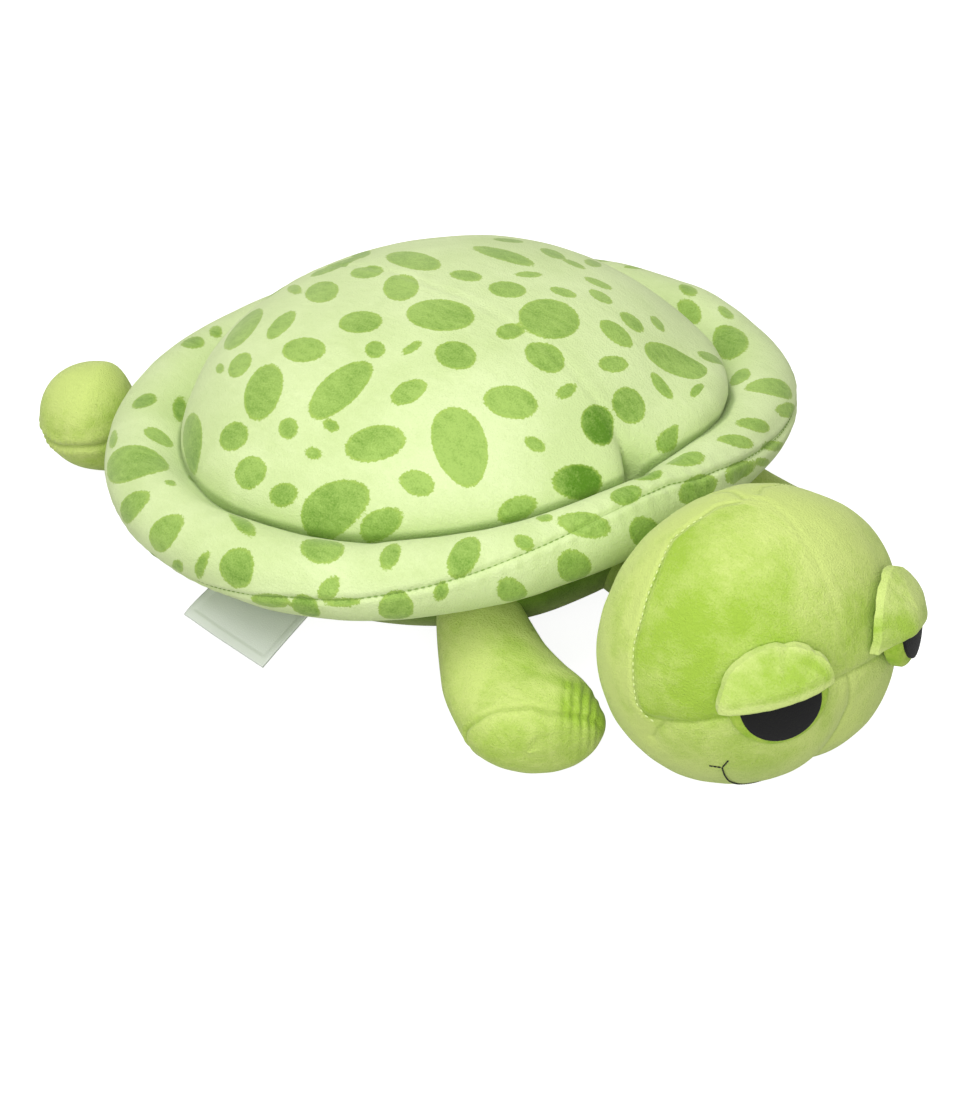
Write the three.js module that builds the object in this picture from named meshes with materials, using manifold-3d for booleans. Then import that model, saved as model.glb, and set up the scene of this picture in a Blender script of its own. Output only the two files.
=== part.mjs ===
import * as THREE from "three";
import { mergeVertices } from "three/addons/utils/BufferGeometryUtils.js";
import Module from "manifold-3d";

const wasm = await Module();
wasm.setup();

// A stuffed toy turtle in millimetres. It faces -Y and rests on z = 0.
// Plush panels, each a skin of backing cloth and pile, close over fibre filling.

// Cloth and seams
const plushThickness = 2.5;
const seamGap = 0.3;
const pressedFlat = 0.5; // how deep the toy is pressed flat where it rests

// Body cushion: a dome over a belly, widest at the rim
const shellWidth = 270;
const shellLength = 256;
const shellRise = 75;
const bellyDrop = 61; // at the middle; it lies level, so it is deeper in front
const frontLift = 7; // degrees that the body leans back on its flippers
const domeFullness = 2.15;
const bellyFullness = 2.7;

// Rim: a stuffed roll of two strips round the body's widest line
const rimSpread = 340;
const rimThickness = 35;
const rimBite = 5; // how far the roll is sewn into the body's side
const rimPush = 17; // how far the head pushes the roll back
const rimPushRise = 4;
const rimPushTurn = 62; // degrees to each side of the head
const seamTurnBehind = -8; // degrees round the roll to the strips' outer seam
const seamTurnInFront = 78;

// Neck: a short tube between two rounded ends, drawn in at its waist
const neckRadius = 21;
const neckWaist = 17;
const neckSink = 4; // of the root's middle below the body's surface
const neckRootHeight = 38;
const neckTipHeight = 45;
const neckLength = 58.1; // along the ground, between the middles of its ends
const neckHeading = 26.8; // degrees towards the right flipper
const neckNod = { from: 0, to: 5 }; // degrees that the neck lifts

// Head: an egg that droops forward, with fuller cheeks
const headWidth = 134;
const headDepth = 120;
const headHeight = 138;
const headAhead = 48; // of the head's middle before the neck's tip
const headAside = 12.5; // and to its right
const headTurn = -10; // degrees
const headDroop = 13;
const headSwing = { from: -4, to: 20 }; // degrees towards the left flipper
const cheekSwellShare = 0.05;
const cheekSeamBack = 10; // of the cheek seams behind the head's middle
const cheekSeamLean = 8; // degrees
const muzzleSeamDrop = 14; // of the muzzle seams below the head's middle
const muzzleSeamLean = 12;

// Eyes: felt discs on padded ones, under padded half-moon lids
const eyeSpread = 68;
const eyeForward = 46.5;
const eyeLevel = 26.5;
const eyeSag = 19; // degrees that the outer corner hangs lower
const eyeWidth = 36;
const eyeHeight = 38;
const backingMargin = 3.5;
const backingThickness = 6;
const feltThickness = 1.2;
const lidWidth = 50;
const lidRise = 25;
const lidStandOff = 12;
const lidEdgeRise = 2; // of the lid's straight edge above the eye's middle

// Front flippers: a round root under the rim, a taper and a broad toe
const flipperBearing = 40.5; // degrees from straight ahead to the root
const flipperHeading = { right: 31.5, left: 12.5 }; // degrees from straight ahead to the toe
const flipperSwing = { right: { from: -20, to: 6 }, left: { from: -6, to: 26 } };
const flipperSink = 4; // of the root's middle below the body's surface
const flipperRootRadius = 17.5;
const flipperRootHeight = 37;
const flipperReach = { right: 62.5, left: 62.5 }; // from the root's middle to the toe seam
const flipperBend = 6; // of the toe towards the head
const flipperToeLength = 25;
const flipperToeWidth = 59;
const flipperToeHeight = 42.5;
const flipperToeFullness = 2.8;
const flipperSwellShare = -0.05; // where the swelling starts between root and toe

// Hind feet: a ball on a short leg
const hindBearing = 152;
const hindHeading = { right: 152, left: 136 };
const hindSwing = { right: { from: -15, to: 15 }, left: { from: -6, to: 19 } };
const hindSink = 4;
const hindRootRadius = 11;
const hindRootHeight = 11.5;
const hindReach = { right: 88, left: 82 };
const hindToeLength = 30;
const hindToeWidth = 56;
const hindToeHeight = 56;
const hindToeFullness = 2.1;
const hindSwellShare = 0.75;

// Care label: a tab sewn in under the rim
const labelWidth = 52;
const labelLength = 35;
const labelThickness = 0.6;
const labelHeight = 34; // of its sewn edge above the ground
const labelFall = 26; // degrees
const labelAhead = 12; // of the rim's middle

// Cloth, felt and filling
const plush = { roughness: 0.9, metalness: 0 };
const spottedPlush = new THREE.MeshStandardMaterial({ color: 0xbfe07a, ...plush });
const limePlush = new THREE.MeshStandardMaterial({ color: 0x9ccb3f, ...plush });
const lidPlush = new THREE.MeshStandardMaterial({ color: 0xa9d450, ...plush });
const blackFelt = new THREE.MeshStandardMaterial({ color: 0x0c0c0d, ...plush });
const whiteSatin = new THREE.MeshStandardMaterial({ color: 0xeef0ea, roughness: 0.5, metalness: 0 });
const fibreFill = new THREE.MeshStandardMaterial({ color: 0xf4f4f0, roughness: 1, metalness: 0 });

// Facets round and along each form, outside and on the inside of its skin
const bodySteps = { outside: { around: 36, along: 16 }, inside: { around: 24, along: 8 } };
const headSteps = { outside: { around: 24, along: 14 }, inside: { around: 16, along: 8 } };
const limbSteps = { outside: { around: 16, cap: 4, middle: 4 }, inside: { around: 12, cap: 3, middle: 4 } };
const lidSteps = { around: 16, along: 8 };
const rimSteps = { around: 32, section: { outside: 12, inside: 10 }, wedge: 5 };
const swingStep = 8; // degrees
const eyeSides = 20;

const radians = THREE.MathUtils.degToRad;
const skinInside = -plushThickness;
const fillOutside = skinInside - seamGap;

function shiftOf(place) {
  return new THREE.Matrix4().makeTranslation(place.x, place.y, place.z);
}

function turnAbout(axis, degrees) {
  return new THREE.Matrix4().makeRotationAxis(axis, radians(degrees));
}

function frameOf(...steps) {
  return steps.reduce((frame, step) => frame.multiply(step), new THREE.Matrix4());
}

const axisX = new THREE.Vector3(1, 0, 0);
const axisY = new THREE.Vector3(0, 1, 0);
const axisZ = new THREE.Vector3(0, 0, 1);
const upright = new THREE.Matrix4();
const polesUp = turnAbout(axisX, 90);

// A closed three.js geometry as a solid for cutting and joining
function toSolid(geometry) {
  const bare = geometry.clone();
  bare.deleteAttribute("normal");
  bare.deleteAttribute("uv");
  const merged = mergeVertices(bare);
  return new wasm.Manifold(new wasm.Mesh({
    numProp: 3,
    vertProperties: new Float32Array(merged.attributes.position.array),
    triVerts: new Uint32Array(merged.index.array),
  }));
}

function toGeometry(solid) {
  const mesh = solid.getMesh();
  const geometry = new THREE.BufferGeometry();
  const positions = new Float32Array(mesh.vertProperties);
  geometry.setAttribute("position", new THREE.BufferAttribute(positions, 3));
  geometry.setIndex(new THREE.BufferAttribute(new Uint32Array(mesh.triVerts), 1));
  return geometry;
}

// A geometry whose points are moved one by one, then placed in a frame
function reshaped(geometry, frame, shape) {
  const points = geometry.attributes.position;
  const point = new THREE.Vector3();
  for (let i = 0; i < points.count; i += 1) {
    shape(point.fromBufferAttribute(points, i));
    points.setXYZ(i, point.x, point.y, point.z);
  }
  return toSolid(geometry.applyMatrix4(frame));
}

function stepsFor(steps, extra) {
  return extra < 0 ? steps.inside : steps.outside;
}

function ballForm(steps, frame, shape) {
  const ball = new THREE.SphereGeometry(1, steps.around, steps.along).applyMatrix4(polesUp);
  return reshaped(ball, frame, shape);
}

// A capsule along Y that runs from its root, at y = 0, towards -Y
function capsuleForm(steps, frame, shape) {
  const { around, cap, middle } = steps;
  const capsule = new THREE.CapsuleGeometry(1, 2, cap, around, middle);
  return reshaped(capsule, frame, (point) => {
    const ahead = -point.y;
    const share = THREE.MathUtils.clamp((ahead + 1) / 2, 0, 1);
    const past = ahead - THREE.MathUtils.clamp(ahead, -1, 1);
    shape(point, share, past);
  });
}

// Larger than the toy, for cutting a solid in two
const roomSize = 2 * (rimSpread + headDepth);

function room(frame, shift) {
  const box = new THREE.BoxGeometry(roomSize, roomSize, roomSize);
  return toSolid(box.applyMatrix4(frameOf(frame, shiftOf(shift))));
}

const ground = room(upright, { x: 0, y: 0, z: -roomSize / 2 });

// The part of a solid on one side of the frame's plane across the given axis
function halfOf(solid, frame, axis, side) {
  const shift = axis.clone().multiplyScalar((side * (roomSize + seamGap)) / 2);
  return solid.intersect(room(frame, shift));
}

function cutAll(solid, cutters) {
  return cutters.reduce((rest, cutter) => rest.subtract(cutter), solid);
}

// A piece trimmed so that its seat stays clear of it while the seat turns about the pivot
function trimmed(solid, seat, frame, pivot, axis, swing) {
  const steps = Math.ceil((swing.to - swing.from) / swingStep);
  const seats = [];
  for (let i = 0; i <= steps; i += 1) {
    const turn = turnAbout(axis, THREE.MathUtils.lerp(swing.from, swing.to, i / steps));
    const about = shiftOf(pivot);
    seats.push(seat(frameOf(about, turn, about.clone().invert(), frame), seamGap));
  }
  return cutAll(solid, seats);
}

function reversed(swing) {
  return { from: -swing.to, to: -swing.from };
}

// The exported scene: nested groups, each with its origin where it turns
const turtle = new THREE.Group();

function groupAt(parent, place) {
  const group = new THREE.Group();
  parent.updateWorldMatrix(true, false);
  group.position.copy(parent.worldToLocal(new THREE.Vector3(place.x, place.y, place.z)));
  parent.add(group);
  group.updateWorldMatrix(true, false);
  return group;
}

function addPiece(group, name, solid, material) {
  const geometry = toGeometry(solid).applyMatrix4(group.matrixWorld.clone().invert());
  geometry.computeVertexNormals();
  const piece = new THREE.Mesh(geometry, material);
  piece.name = name;
  group.add(piece);
}

// How high a form's middle lies when its lowest part is pressed flat on the ground
function restingHeight(form) {
  return -form.boundingBox().min[2] - pressedFlat;
}

// Body
function bodyShape(frame, extra) {
  return ballForm(stepsFor(bodySteps, extra), frame, (point) => {
    const isDome = point.z > 0;
    const power = 2 / (isDome ? domeFullness : bellyFullness);
    const flat = Math.hypot(point.x, point.y);
    const spread = flat > 0 ? flat ** (power - 1) : 0;
    point.x *= spread * (shellWidth / 2 + extra);
    point.y *= spread * (shellLength / 2 + extra);
    const deep = isDome ? shellRise : bellyDrop - point.y * Math.tan(radians(frontLift));
    point.z = Math.sign(point.z) * Math.abs(point.z) ** power * (deep + extra);
  });
}

const bodyTilt = turnAbout(axisX, -frontLift);
const rimHeight = restingHeight(bodyShape(bodyTilt, 0));
const bodyFrame = frameOf(shiftOf({ x: 0, y: 0, z: rimHeight }), bodyTilt);

function bodyForm(extra) {
  return bodyShape(bodyFrame, extra);
}

function equatorReach(bearing) {
  const turn = radians(bearing);
  return 1 / Math.hypot(Math.sin(turn) / (shellWidth / 2), Math.cos(turn) / (shellLength / 2));
}

// How far the belly's side stands from the middle at a bearing and a height above ground
function bellyReach(bearing, height) {
  const equator = equatorReach(bearing);
  const lift = equator * Math.cos(radians(bearing)) * Math.sin(radians(frontLift));
  const below = Math.min(Math.abs(rimHeight + lift - height) / (bellyDrop + lift), 1);
  return equator * (1 - below ** bellyFullness) ** (1 / bellyFullness);
}

// Limbs
const flipper = {
  bearing: flipperBearing,
  heading: flipperHeading,
  swing: flipperSwing,
  sink: flipperSink,
  rootRadius: flipperRootRadius,
  rootHeight: flipperRootHeight,
  reach: flipperReach,
  toeLength: flipperToeLength,
  toeWidth: flipperToeWidth,
  toeHeight: flipperToeHeight,
  toeFullness: flipperToeFullness,
  swellShare: flipperSwellShare,
  bend: flipperBend,
};

const hindLeg = {
  bearing: hindBearing,
  heading: hindHeading,
  swing: hindSwing,
  sink: hindSink,
  rootRadius: hindRootRadius,
  rootHeight: hindRootHeight,
  reach: hindReach,
  toeLength: hindToeLength,
  toeWidth: hindToeWidth,
  toeHeight: hindToeHeight,
  toeFullness: hindToeFullness,
  swellShare: hindSwellShare,
  bend: 0,
};

const sides = { right: -1, left: 1 };

function limbPivot(limb, name) {
  const reach = bellyReach(limb.bearing, limb.rootHeight) - limb.sink;
  const turn = radians(limb.bearing);
  return { x: sides[name] * reach * Math.sin(turn), y: -reach * Math.cos(turn), z: limb.rootHeight };
}

function limbFrame(limb, name) {
  const turn = turnAbout(axisZ, sides[name] * limb.heading[name]);
  return frameOf(shiftOf(limbPivot(limb, name)), turn);
}

function limbForm(limb, name, extra) {
  const toeMiddle = limb.toeHeight / 2 - pressedFlat;
  const power = 2 / limb.toeFullness;
  const steps = stepsFor(limbSteps, extra);
  return capsuleForm(steps, limbFrame(limb, name), (point, share, past) => {
    const grown = THREE.MathUtils.clamp((share - limb.swellShare) / (1 - limb.swellShare), 0, 1);
    const swell = Math.sin((grown * Math.PI) / 2);
    const rest = share > 0 ? swell : 0;
    const across = Math.hypot(point.x, point.z);
    const isToe = past > 0;
    const spread = isToe && across > 0 ? across ** (power - 1) : 1;
    const ahead = isToe ? past ** power * (limb.toeLength + extra) : past * (limb.rootRadius + extra);
    point.x *= spread * (THREE.MathUtils.lerp(limb.rootRadius, limb.toeWidth / 2, rest) + extra);
    point.y = -share * limb.reach[name] - ahead;
    point.x -= sides[name] * limb.bend * Math.max(0, -point.y / limb.reach[name]) ** 2;
    point.z *= spread * (THREE.MathUtils.lerp(limb.rootRadius, limb.toeHeight / 2, rest) + extra);
    point.z += (toeMiddle - limb.rootHeight) * rest;
  });
}

function skinOf(form) {
  return form(0).subtract(form(skinInside));
}

// A limb's skin and filling, open at the root where they are sewn to the body
function limbLayers(limb, name) {
  const form = (extra) => limbForm(limb, name, extra);
  const swing = reversed(limb.swing[name]);
  const seated = (solid) =>
    trimmed(solid, bodyShape, bodyFrame, limbPivot(limb, name), axisZ, swing);
  return { skin: seated(skinOf(form)).subtract(ground), filling: seated(form(fillOutside)) };
}

function buildFlipper(name) {
  const group = groupAt(turtle, limbPivot(flipper, name));
  const toeSeam = frameOf(limbFrame(flipper, name), shiftOf({ x: 0, y: -flipperReach[name], z: 0 }));
  const { skin, filling } = limbLayers(flipper, name);
  addPiece(group, `flipper_sleeve_${name}`, halfOf(skin, toeSeam, axisY, 1), limePlush);
  addPiece(group, `flipper_toe_${name}`, halfOf(skin, toeSeam, axisY, -1), limePlush);
  addPiece(group, `flipper_filling_${name}`, filling, fibreFill);
}

function buildHindFoot(name) {
  const group = groupAt(turtle, limbPivot(hindLeg, name));
  const sideSeam = shiftOf({ x: 0, y: 0, z: hindRootHeight });
  const { skin, filling } = limbLayers(hindLeg, name);
  addPiece(group, `hind_foot_top_${name}`, halfOf(skin, sideSeam, axisZ, 1), limePlush);
  addPiece(group, `hind_foot_sole_${name}`, halfOf(skin, sideSeam, axisZ, -1), limePlush);
  addPiece(group, `hind_foot_filling_${name}`, filling, fibreFill);
}

// Where the neck starts and ends
const neckRoot = { x: 0, y: neckSink - bellyReach(0, neckRootHeight), z: neckRootHeight };
const neckTip = {
  x: neckRoot.x - neckLength * Math.sin(radians(neckHeading)),
  y: neckRoot.y - neckLength * Math.cos(radians(neckHeading)),
  z: neckTipHeight,
};

// Head
function headShape(frame, extra) {
  return ballForm(stepsFor(headSteps, extra), frame, (point) => {
    const swell = 1 - cheekSwellShare * point.z;
    point.x *= (headWidth / 2) * swell + extra;
    point.y *= (headDepth / 2) * swell + extra;
    point.z *= headHeight / 2 + extra;
  });
}

const headTilt = frameOf(turnAbout(axisZ, headTurn), turnAbout(axisX, headDroop));
const headPlace = {
  x: neckTip.x - headAside,
  y: neckTip.y - headAhead,
  z: restingHeight(headShape(headTilt, 0)),
};
const headFrame = frameOf(shiftOf(headPlace), headTilt);

function headForm(extra) {
  return headShape(headFrame, extra);
}

// The eye's own frame: -Y out of the head, Z up its face
function eyeFrame(side) {
  const place = new THREE.Vector3((side * eyeSpread) / 2, -eyeForward, eyeLevel);
  const outward = new THREE.Vector3(
    place.x / (headWidth / 2) ** 2,
    place.y / (headDepth / 2) ** 2,
    place.z / (headHeight / 2) ** 2,
  ).normalize();
  const inward = outward.negate();
  const across = new THREE.Vector3().crossVectors(inward, axisZ).normalize();
  const up = new THREE.Vector3().crossVectors(across, inward);
  const basis = new THREE.Matrix4().makeBasis(across, inward, up);
  return frameOf(headFrame, shiftOf(place), basis, turnAbout(axisY, side * eyeSag));
}

function eyeColumn(side, width, height) {
  const column = new THREE.CylinderGeometry(1, 1, headDepth, eyeSides);
  const size = new THREE.Matrix4().makeScale(width / 2, 1, height / 2);
  return toSolid(column.applyMatrix4(frameOf(eyeFrame(side), size)));
}

function buildEye(group, name, side) {
  const backingWidth = eyeWidth + 2 * backingMargin;
  const backingHeight = eyeHeight + 2 * backingMargin;
  const backingOutside = seamGap + backingThickness;
  const eyeOutside = backingOutside + seamGap + feltThickness;
  const layer = (inside, outside) => headForm(outside).subtract(headForm(inside));
  const backing = layer(seamGap, backingOutside).intersect(eyeColumn(side, backingWidth, backingHeight));
  const eye = layer(backingOutside + seamGap, eyeOutside).intersect(eyeColumn(side, eyeWidth, eyeHeight));
  const lidFrame = frameOf(eyeFrame(side), shiftOf({ x: 0, y: 0, z: lidEdgeRise }));
  const moon = ballForm(lidSteps, lidFrame, (point) => {
    point.x *= lidWidth / 2;
    point.y *= lidStandOff;
    point.z *= lidRise - lidEdgeRise;
  });
  const eyeBed = eyeColumn(side, backingWidth + 2 * seamGap, backingHeight + 2 * seamGap);
  const cutters = [headForm(seamGap), headForm(eyeOutside + seamGap).intersect(eyeBed)];
  addPiece(group, `eye_backing_${name}`, backing, limePlush);
  addPiece(group, `eye_${name}`, eye, blackFelt);
  addPiece(group, `eyelid_${name}`, cutAll(halfOf(moon, lidFrame, axisZ, 1), cutters), lidPlush);
}

function buildHead(group) {
  const skin = skinOf(headForm).subtract(ground);
  const cheekSeam = frameOf(
    headFrame,
    shiftOf({ x: 0, y: cheekSeamBack, z: 0 }),
    turnAbout(axisX, cheekSeamLean),
  );
  const muzzleSeam = frameOf(
    headFrame,
    shiftOf({ x: 0, y: 0, z: -muzzleSeamDrop }),
    turnAbout(axisX, muzzleSeamLean),
  );
  const back = halfOf(skin, cheekSeam, axisY, 1);
  const front = halfOf(skin, cheekSeam, axisY, -1);
  const panels = {
    head_back: back,
    head_crown: halfOf(front, muzzleSeam, axisZ, 1),
    head_muzzle: halfOf(front, muzzleSeam, axisZ, -1),
  };
  for (const [panel, solid] of Object.entries(panels)) {
    for (const [name, side] of Object.entries(sides)) {
      addPiece(group, `${panel}_${name}`, halfOf(solid, headFrame, axisX, side), limePlush);
    }
  }
  addPiece(group, "head_filling", headForm(fillOutside), fibreFill);
  for (const [name, side] of Object.entries(sides)) {
    buildEye(group, name, side);
  }
}

// Body covers and filling
function buildBody(group) {
  const skin = skinOf(bodyForm);
  const dome = halfOf(skin, bodyFrame, axisZ, 1);
  addPiece(group, "shell_cover_right", halfOf(dome, upright, axisX, -1), spottedPlush);
  addPiece(group, "shell_cover_left", halfOf(dome, upright, axisX, 1), spottedPlush);
  addPiece(group, "belly_cover", halfOf(skin, bodyFrame, axisZ, -1).subtract(ground), limePlush);
  addPiece(group, "body_filling", bodyForm(fillOutside), fibreFill);
}

// Neck
function buildNeck(group) {
  const rise = neckTipHeight - neckRootHeight;
  const slope = THREE.MathUtils.radToDeg(Math.atan2(rise, neckLength));
  const frame = frameOf(shiftOf(neckRoot), turnAbout(axisZ, -neckHeading), turnAbout(axisX, -slope));
  const form = capsuleForm(limbSteps.outside, frame, (point, share, past) => {
    const drawnIn = (neckRadius - neckWaist) * Math.sin(Math.PI * share);
    point.x *= neckRadius - drawnIn;
    point.z *= neckRadius - drawnIn;
    point.y = -share * Math.hypot(neckLength, rise) - past * neckRadius;
  });
  const seated = trimmed(form, bodyShape, bodyFrame, neckRoot, axisX, neckNod);
  const neck = trimmed(seated, headShape, headFrame, neckTip, axisZ, headSwing);
  addPiece(group, "neck", neck, limePlush);
}

// Rim: its section at each bearing, and the strips that wrap it
function rimSection(bearing) {
  const headBearing = THREE.MathUtils.radToDeg(Math.atan2(neckTip.x, -neckTip.y));
  const offHead = THREE.MathUtils.euclideanModulo(bearing - headBearing + 180, 360) - 180;
  const push = (1 + Math.cos(Math.PI * Math.min(1, Math.abs(offHead) / rimPushTurn))) / 2;
  const inner = equatorReach(bearing) - rimBite;
  const outer = rimSpread / 2 - rimPush * push;
  return {
    middle: (inner + outer) / 2,
    halfWidth: (outer - inner) / 2,
    rise: rimPushRise * push,
    seamTurn: radians(THREE.MathUtils.lerp(seamTurnBehind, seamTurnInFront, push)),
  };
}

// Points round the roll's section, each as its reach from the middle and its height
function sectionArc(section, extra, from, to, steps) {
  const arc = [];
  for (let i = 0; i <= steps; i += 1) {
    const turn = THREE.MathUtils.lerp(from, to, i / steps);
    const reach = section.middle + (section.halfWidth + extra) * Math.cos(turn);
    arc.push({ reach, height: section.rise + (rimThickness / 2 + extra) * Math.sin(turn) });
  }
  return arc;
}

// A closed ring round the body whose outline changes with its bearing
function ringOf(outlineAt) {
  const positions = [];
  const faces = [];
  const point = new THREE.Vector3();
  for (let i = 0; i < rimSteps.around; i += 1) {
    const bearing = (360 * i) / rimSteps.around;
    const turn = radians(bearing);
    const outline = outlineAt(rimSection(bearing));
    outline.forEach(({ reach, height }, j) => {
      point.set(reach * Math.sin(turn), -reach * Math.cos(turn), height);
      positions.push(...point.applyMatrix4(bodyFrame).toArray());
      const here = i * outline.length;
      const next = ((i + 1) % rimSteps.around) * outline.length;
      const above = (j + 1) % outline.length;
      faces.push(here + j, next + j, next + above, here + j, next + above, here + above);
    });
  }
  const ring = new THREE.BufferGeometry();
  ring.setAttribute("position", new THREE.Float32BufferAttribute(positions, 3));
  ring.setIndex(faces);
  return toSolid(ring);
}

function rollForm(extra) {
  const steps = stepsFor(rimSteps.section, extra);
  return ringOf((section) => sectionArc(section, extra, -Math.PI, Math.PI, steps).slice(1));
}

// From the roll's middle out past its skin, between the outer seam and the body
function upperWedge(seamShift) {
  return ringOf((section) => {
    const heart = { reach: section.middle, height: section.rise };
    const from = section.seamTurn + seamShift;
    return [heart, ...sectionArc(section, plushThickness, from, Math.PI, rimSteps.wedge)];
  });
}

function buildRim(group) {
  const halfGap = seamGap / rimThickness;
  const body = bodyForm(seamGap);
  const skin = skinOf(rollForm).subtract(body);
  addPiece(group, "rim_cover_upper", skin.intersect(upperWedge(halfGap)), spottedPlush);
  addPiece(group, "rim_cover_lower", skin.subtract(upperWedge(-halfGap)), spottedPlush);
  addPiece(group, "rim_filling", rollForm(fillOutside).subtract(body), fibreFill);
}

// Care label
function buildLabel() {
  const seam = { x: -bellyReach(90, labelHeight) - seamGap, y: -labelAhead, z: labelHeight };
  const group = groupAt(turtle, seam);
  const tab = new THREE.BoxGeometry(labelLength, labelWidth, labelThickness);
  const frame = frameOf(
    shiftOf(seam),
    turnAbout(axisY, -labelFall),
    shiftOf({ x: -labelLength / 2, y: 0, z: 0 }),
  );
  addPiece(group, "care_label", toSolid(tab.applyMatrix4(frame)), whiteSatin);
}

buildBody(turtle);
buildRim(turtle);
for (const name of Object.keys(sides)) {
  buildFlipper(name);
  buildHindFoot(name);
}
const neckGroup = groupAt(turtle, neckRoot);
buildNeck(neckGroup);
buildHead(groupAt(neckGroup, neckTip));
buildLabel();

// The origin is on the ground under the middle of the toy
const extent = new THREE.Box3().setFromObject(turtle);
const middle = extent.getCenter(new THREE.Vector3());
turtle.position.set(-middle.x, -middle.y, -extent.min.z);
turtle.updateMatrixWorld(true);

export default turtle;
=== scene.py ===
import math
import random

import bmesh
import bpy
import numpy as np
from mathutils import Matrix, Vector, kdtree, noise


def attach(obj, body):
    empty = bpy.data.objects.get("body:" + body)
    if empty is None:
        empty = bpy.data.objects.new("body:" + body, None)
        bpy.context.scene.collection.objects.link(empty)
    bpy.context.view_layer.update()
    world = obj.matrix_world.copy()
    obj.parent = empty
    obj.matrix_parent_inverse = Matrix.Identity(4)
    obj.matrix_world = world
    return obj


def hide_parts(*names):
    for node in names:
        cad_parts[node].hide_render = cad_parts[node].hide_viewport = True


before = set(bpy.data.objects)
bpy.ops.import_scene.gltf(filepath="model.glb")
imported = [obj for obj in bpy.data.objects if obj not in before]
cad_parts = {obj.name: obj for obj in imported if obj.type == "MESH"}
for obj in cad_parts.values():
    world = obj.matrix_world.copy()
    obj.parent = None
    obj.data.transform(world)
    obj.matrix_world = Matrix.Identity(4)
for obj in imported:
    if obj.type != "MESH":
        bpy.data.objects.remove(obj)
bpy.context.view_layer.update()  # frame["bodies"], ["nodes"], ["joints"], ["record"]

print("frame loaded")

# Shapes are worked out in millimetres from the middle of the rim and placed in metres.
rimMiddle = np.array([0.0, 44.54, 60.05])
chance = random.Random(11)
farFromSeam = 12.0  # where a seam no longer shows in the cloth


def srgb(red, green, blue):
    def linear(value):
        share = value / 255
        return share / 12.92 if share <= 0.04045 else ((share + 0.055) / 1.055) ** 2.4
    return (linear(red), linear(green), linear(blue), 1.0)


def turned(axis, degrees):
    return np.array(Matrix.Rotation(math.radians(degrees), 3, axis))


def blendOf(start, end, share):
    return start + (end - start) * share


def smoothStep(start, end, value):
    share = np.clip((value - start) / (end - start), 0, 1)
    return share * share * (3 - 2 * share)


def bump(value, middle, width):
    return np.exp(-((value - middle) / width) ** 2)


def ridge(value, row):
    # how high it is, where its middle lies and how wide it is; a hollow has a height below zero
    high, middle, width = row
    return high * bump(value, middle, width)


def swelling(first, second, row):
    # a ridge that also ends in a second direction
    return ridge(first, row[:3]) * bump(second, *row[3:])


def awayFromY(points):
    return np.maximum(np.hypot(points[:, 0], points[:, 2]), 1e-9)


def unitOf(vector):
    return vector / np.linalg.norm(vector)


def bearingOf(points):
    # degrees from straight ahead
    return np.degrees(np.arctan2(points[:, 0], -points[:, 1]))


def elevationOf(unit):
    return np.degrees(np.arcsin(np.clip(unit[:, 2], -1, 1)))


def turnBetween(value, middle):
    # the signed turn from one bearing to another
    return (value - middle + 180) % 360 - 180


def tableAt(table, values):
    rows = np.array(table, float)
    return np.interp(values, rows[:, 0], rows[:, 1])


# Meshes

def ballMesh(fineness):
    ball = bmesh.new()
    bmesh.ops.create_icosphere(ball, subdivisions=fineness, radius=1.0)
    return ball


def tubeRing(around, section):
    # a circle stood up ten radii out, spun once round Z
    ring = bmesh.new()
    bmesh.ops.create_circle(ring, segments=section, radius=1.0)
    stood = Matrix.Translation((10, 0, 0)) @ Matrix.Rotation(math.pi / 2, 4, "X")
    bmesh.ops.transform(ring, matrix=stood, verts=ring.verts)
    bmesh.ops.spin(ring, geom=ring.verts[:] + ring.edges[:], cent=(0, 0, 0), axis=(0, 0, 1),
                   angle=2 * math.pi, steps=around, use_merge=True)
    return ring


def pointsOf(shape):
    return np.array([vertex.co for vertex in shape.verts], float).reshape(-1, 3)


def pieceFrom(name, shape, points, material):
    for vertex, point in zip(shape.verts, points + rimMiddle):
        vertex.co = point * 0.001
    bmesh.ops.recalc_face_normals(shape, faces=shape.faces)
    mesh = bpy.data.meshes.new(name)
    shape.to_mesh(mesh)
    shape.free()
    mesh.polygons.foreach_set("use_smooth", [True] * len(mesh.polygons))
    piece = bpy.data.objects.new(name, mesh)
    bpy.context.scene.collection.objects.link(piece)
    mesh.materials.append(material)
    return piece


def paint(piece, name, values):
    # one value for the whole piece, or one for each point
    layer = piece.data.attributes.new(name, "FLOAT", "POINT")
    layer.data.foreach_set("value", np.full(len(piece.data.vertices), values, np.float32))


def stuffed(piece, body, nodes):
    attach(piece, body)
    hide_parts(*nodes)


def nearestOn(points, line, reach=farFromSeam):
    # how far each point is from a line of points, no further than reach
    tree = kdtree.KDTree(len(line))
    for index, spot in enumerate(line):
        tree.insert(Vector(spot), index)
    tree.balance()
    return np.array([min(reach, tree.find(Vector(point))[2]) for point in points])


def lumps(points, size, seed):
    shift = Vector((seed * 17.3, seed * 5.1, seed * 9.7))
    return np.array([noise.noise(Vector(point) / size + shift) for point in points])


def normalsOf(shape, points):
    for vertex, point in zip(shape.verts, points):
        vertex.co = point
    shape.normal_update()
    return np.array([vertex.normal for vertex in shape.verts])


def lumpy(points, kinds):
    # the filling's lumps: the size, seed and height of each kind
    return sum(lumps(points, size, seed) * height for size, seed, height in kinds)


def rested(points):
    # nothing goes through the floor
    return np.column_stack([points[:, :2], np.maximum(points[:, 2], -rimMiddle[2])])


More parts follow.
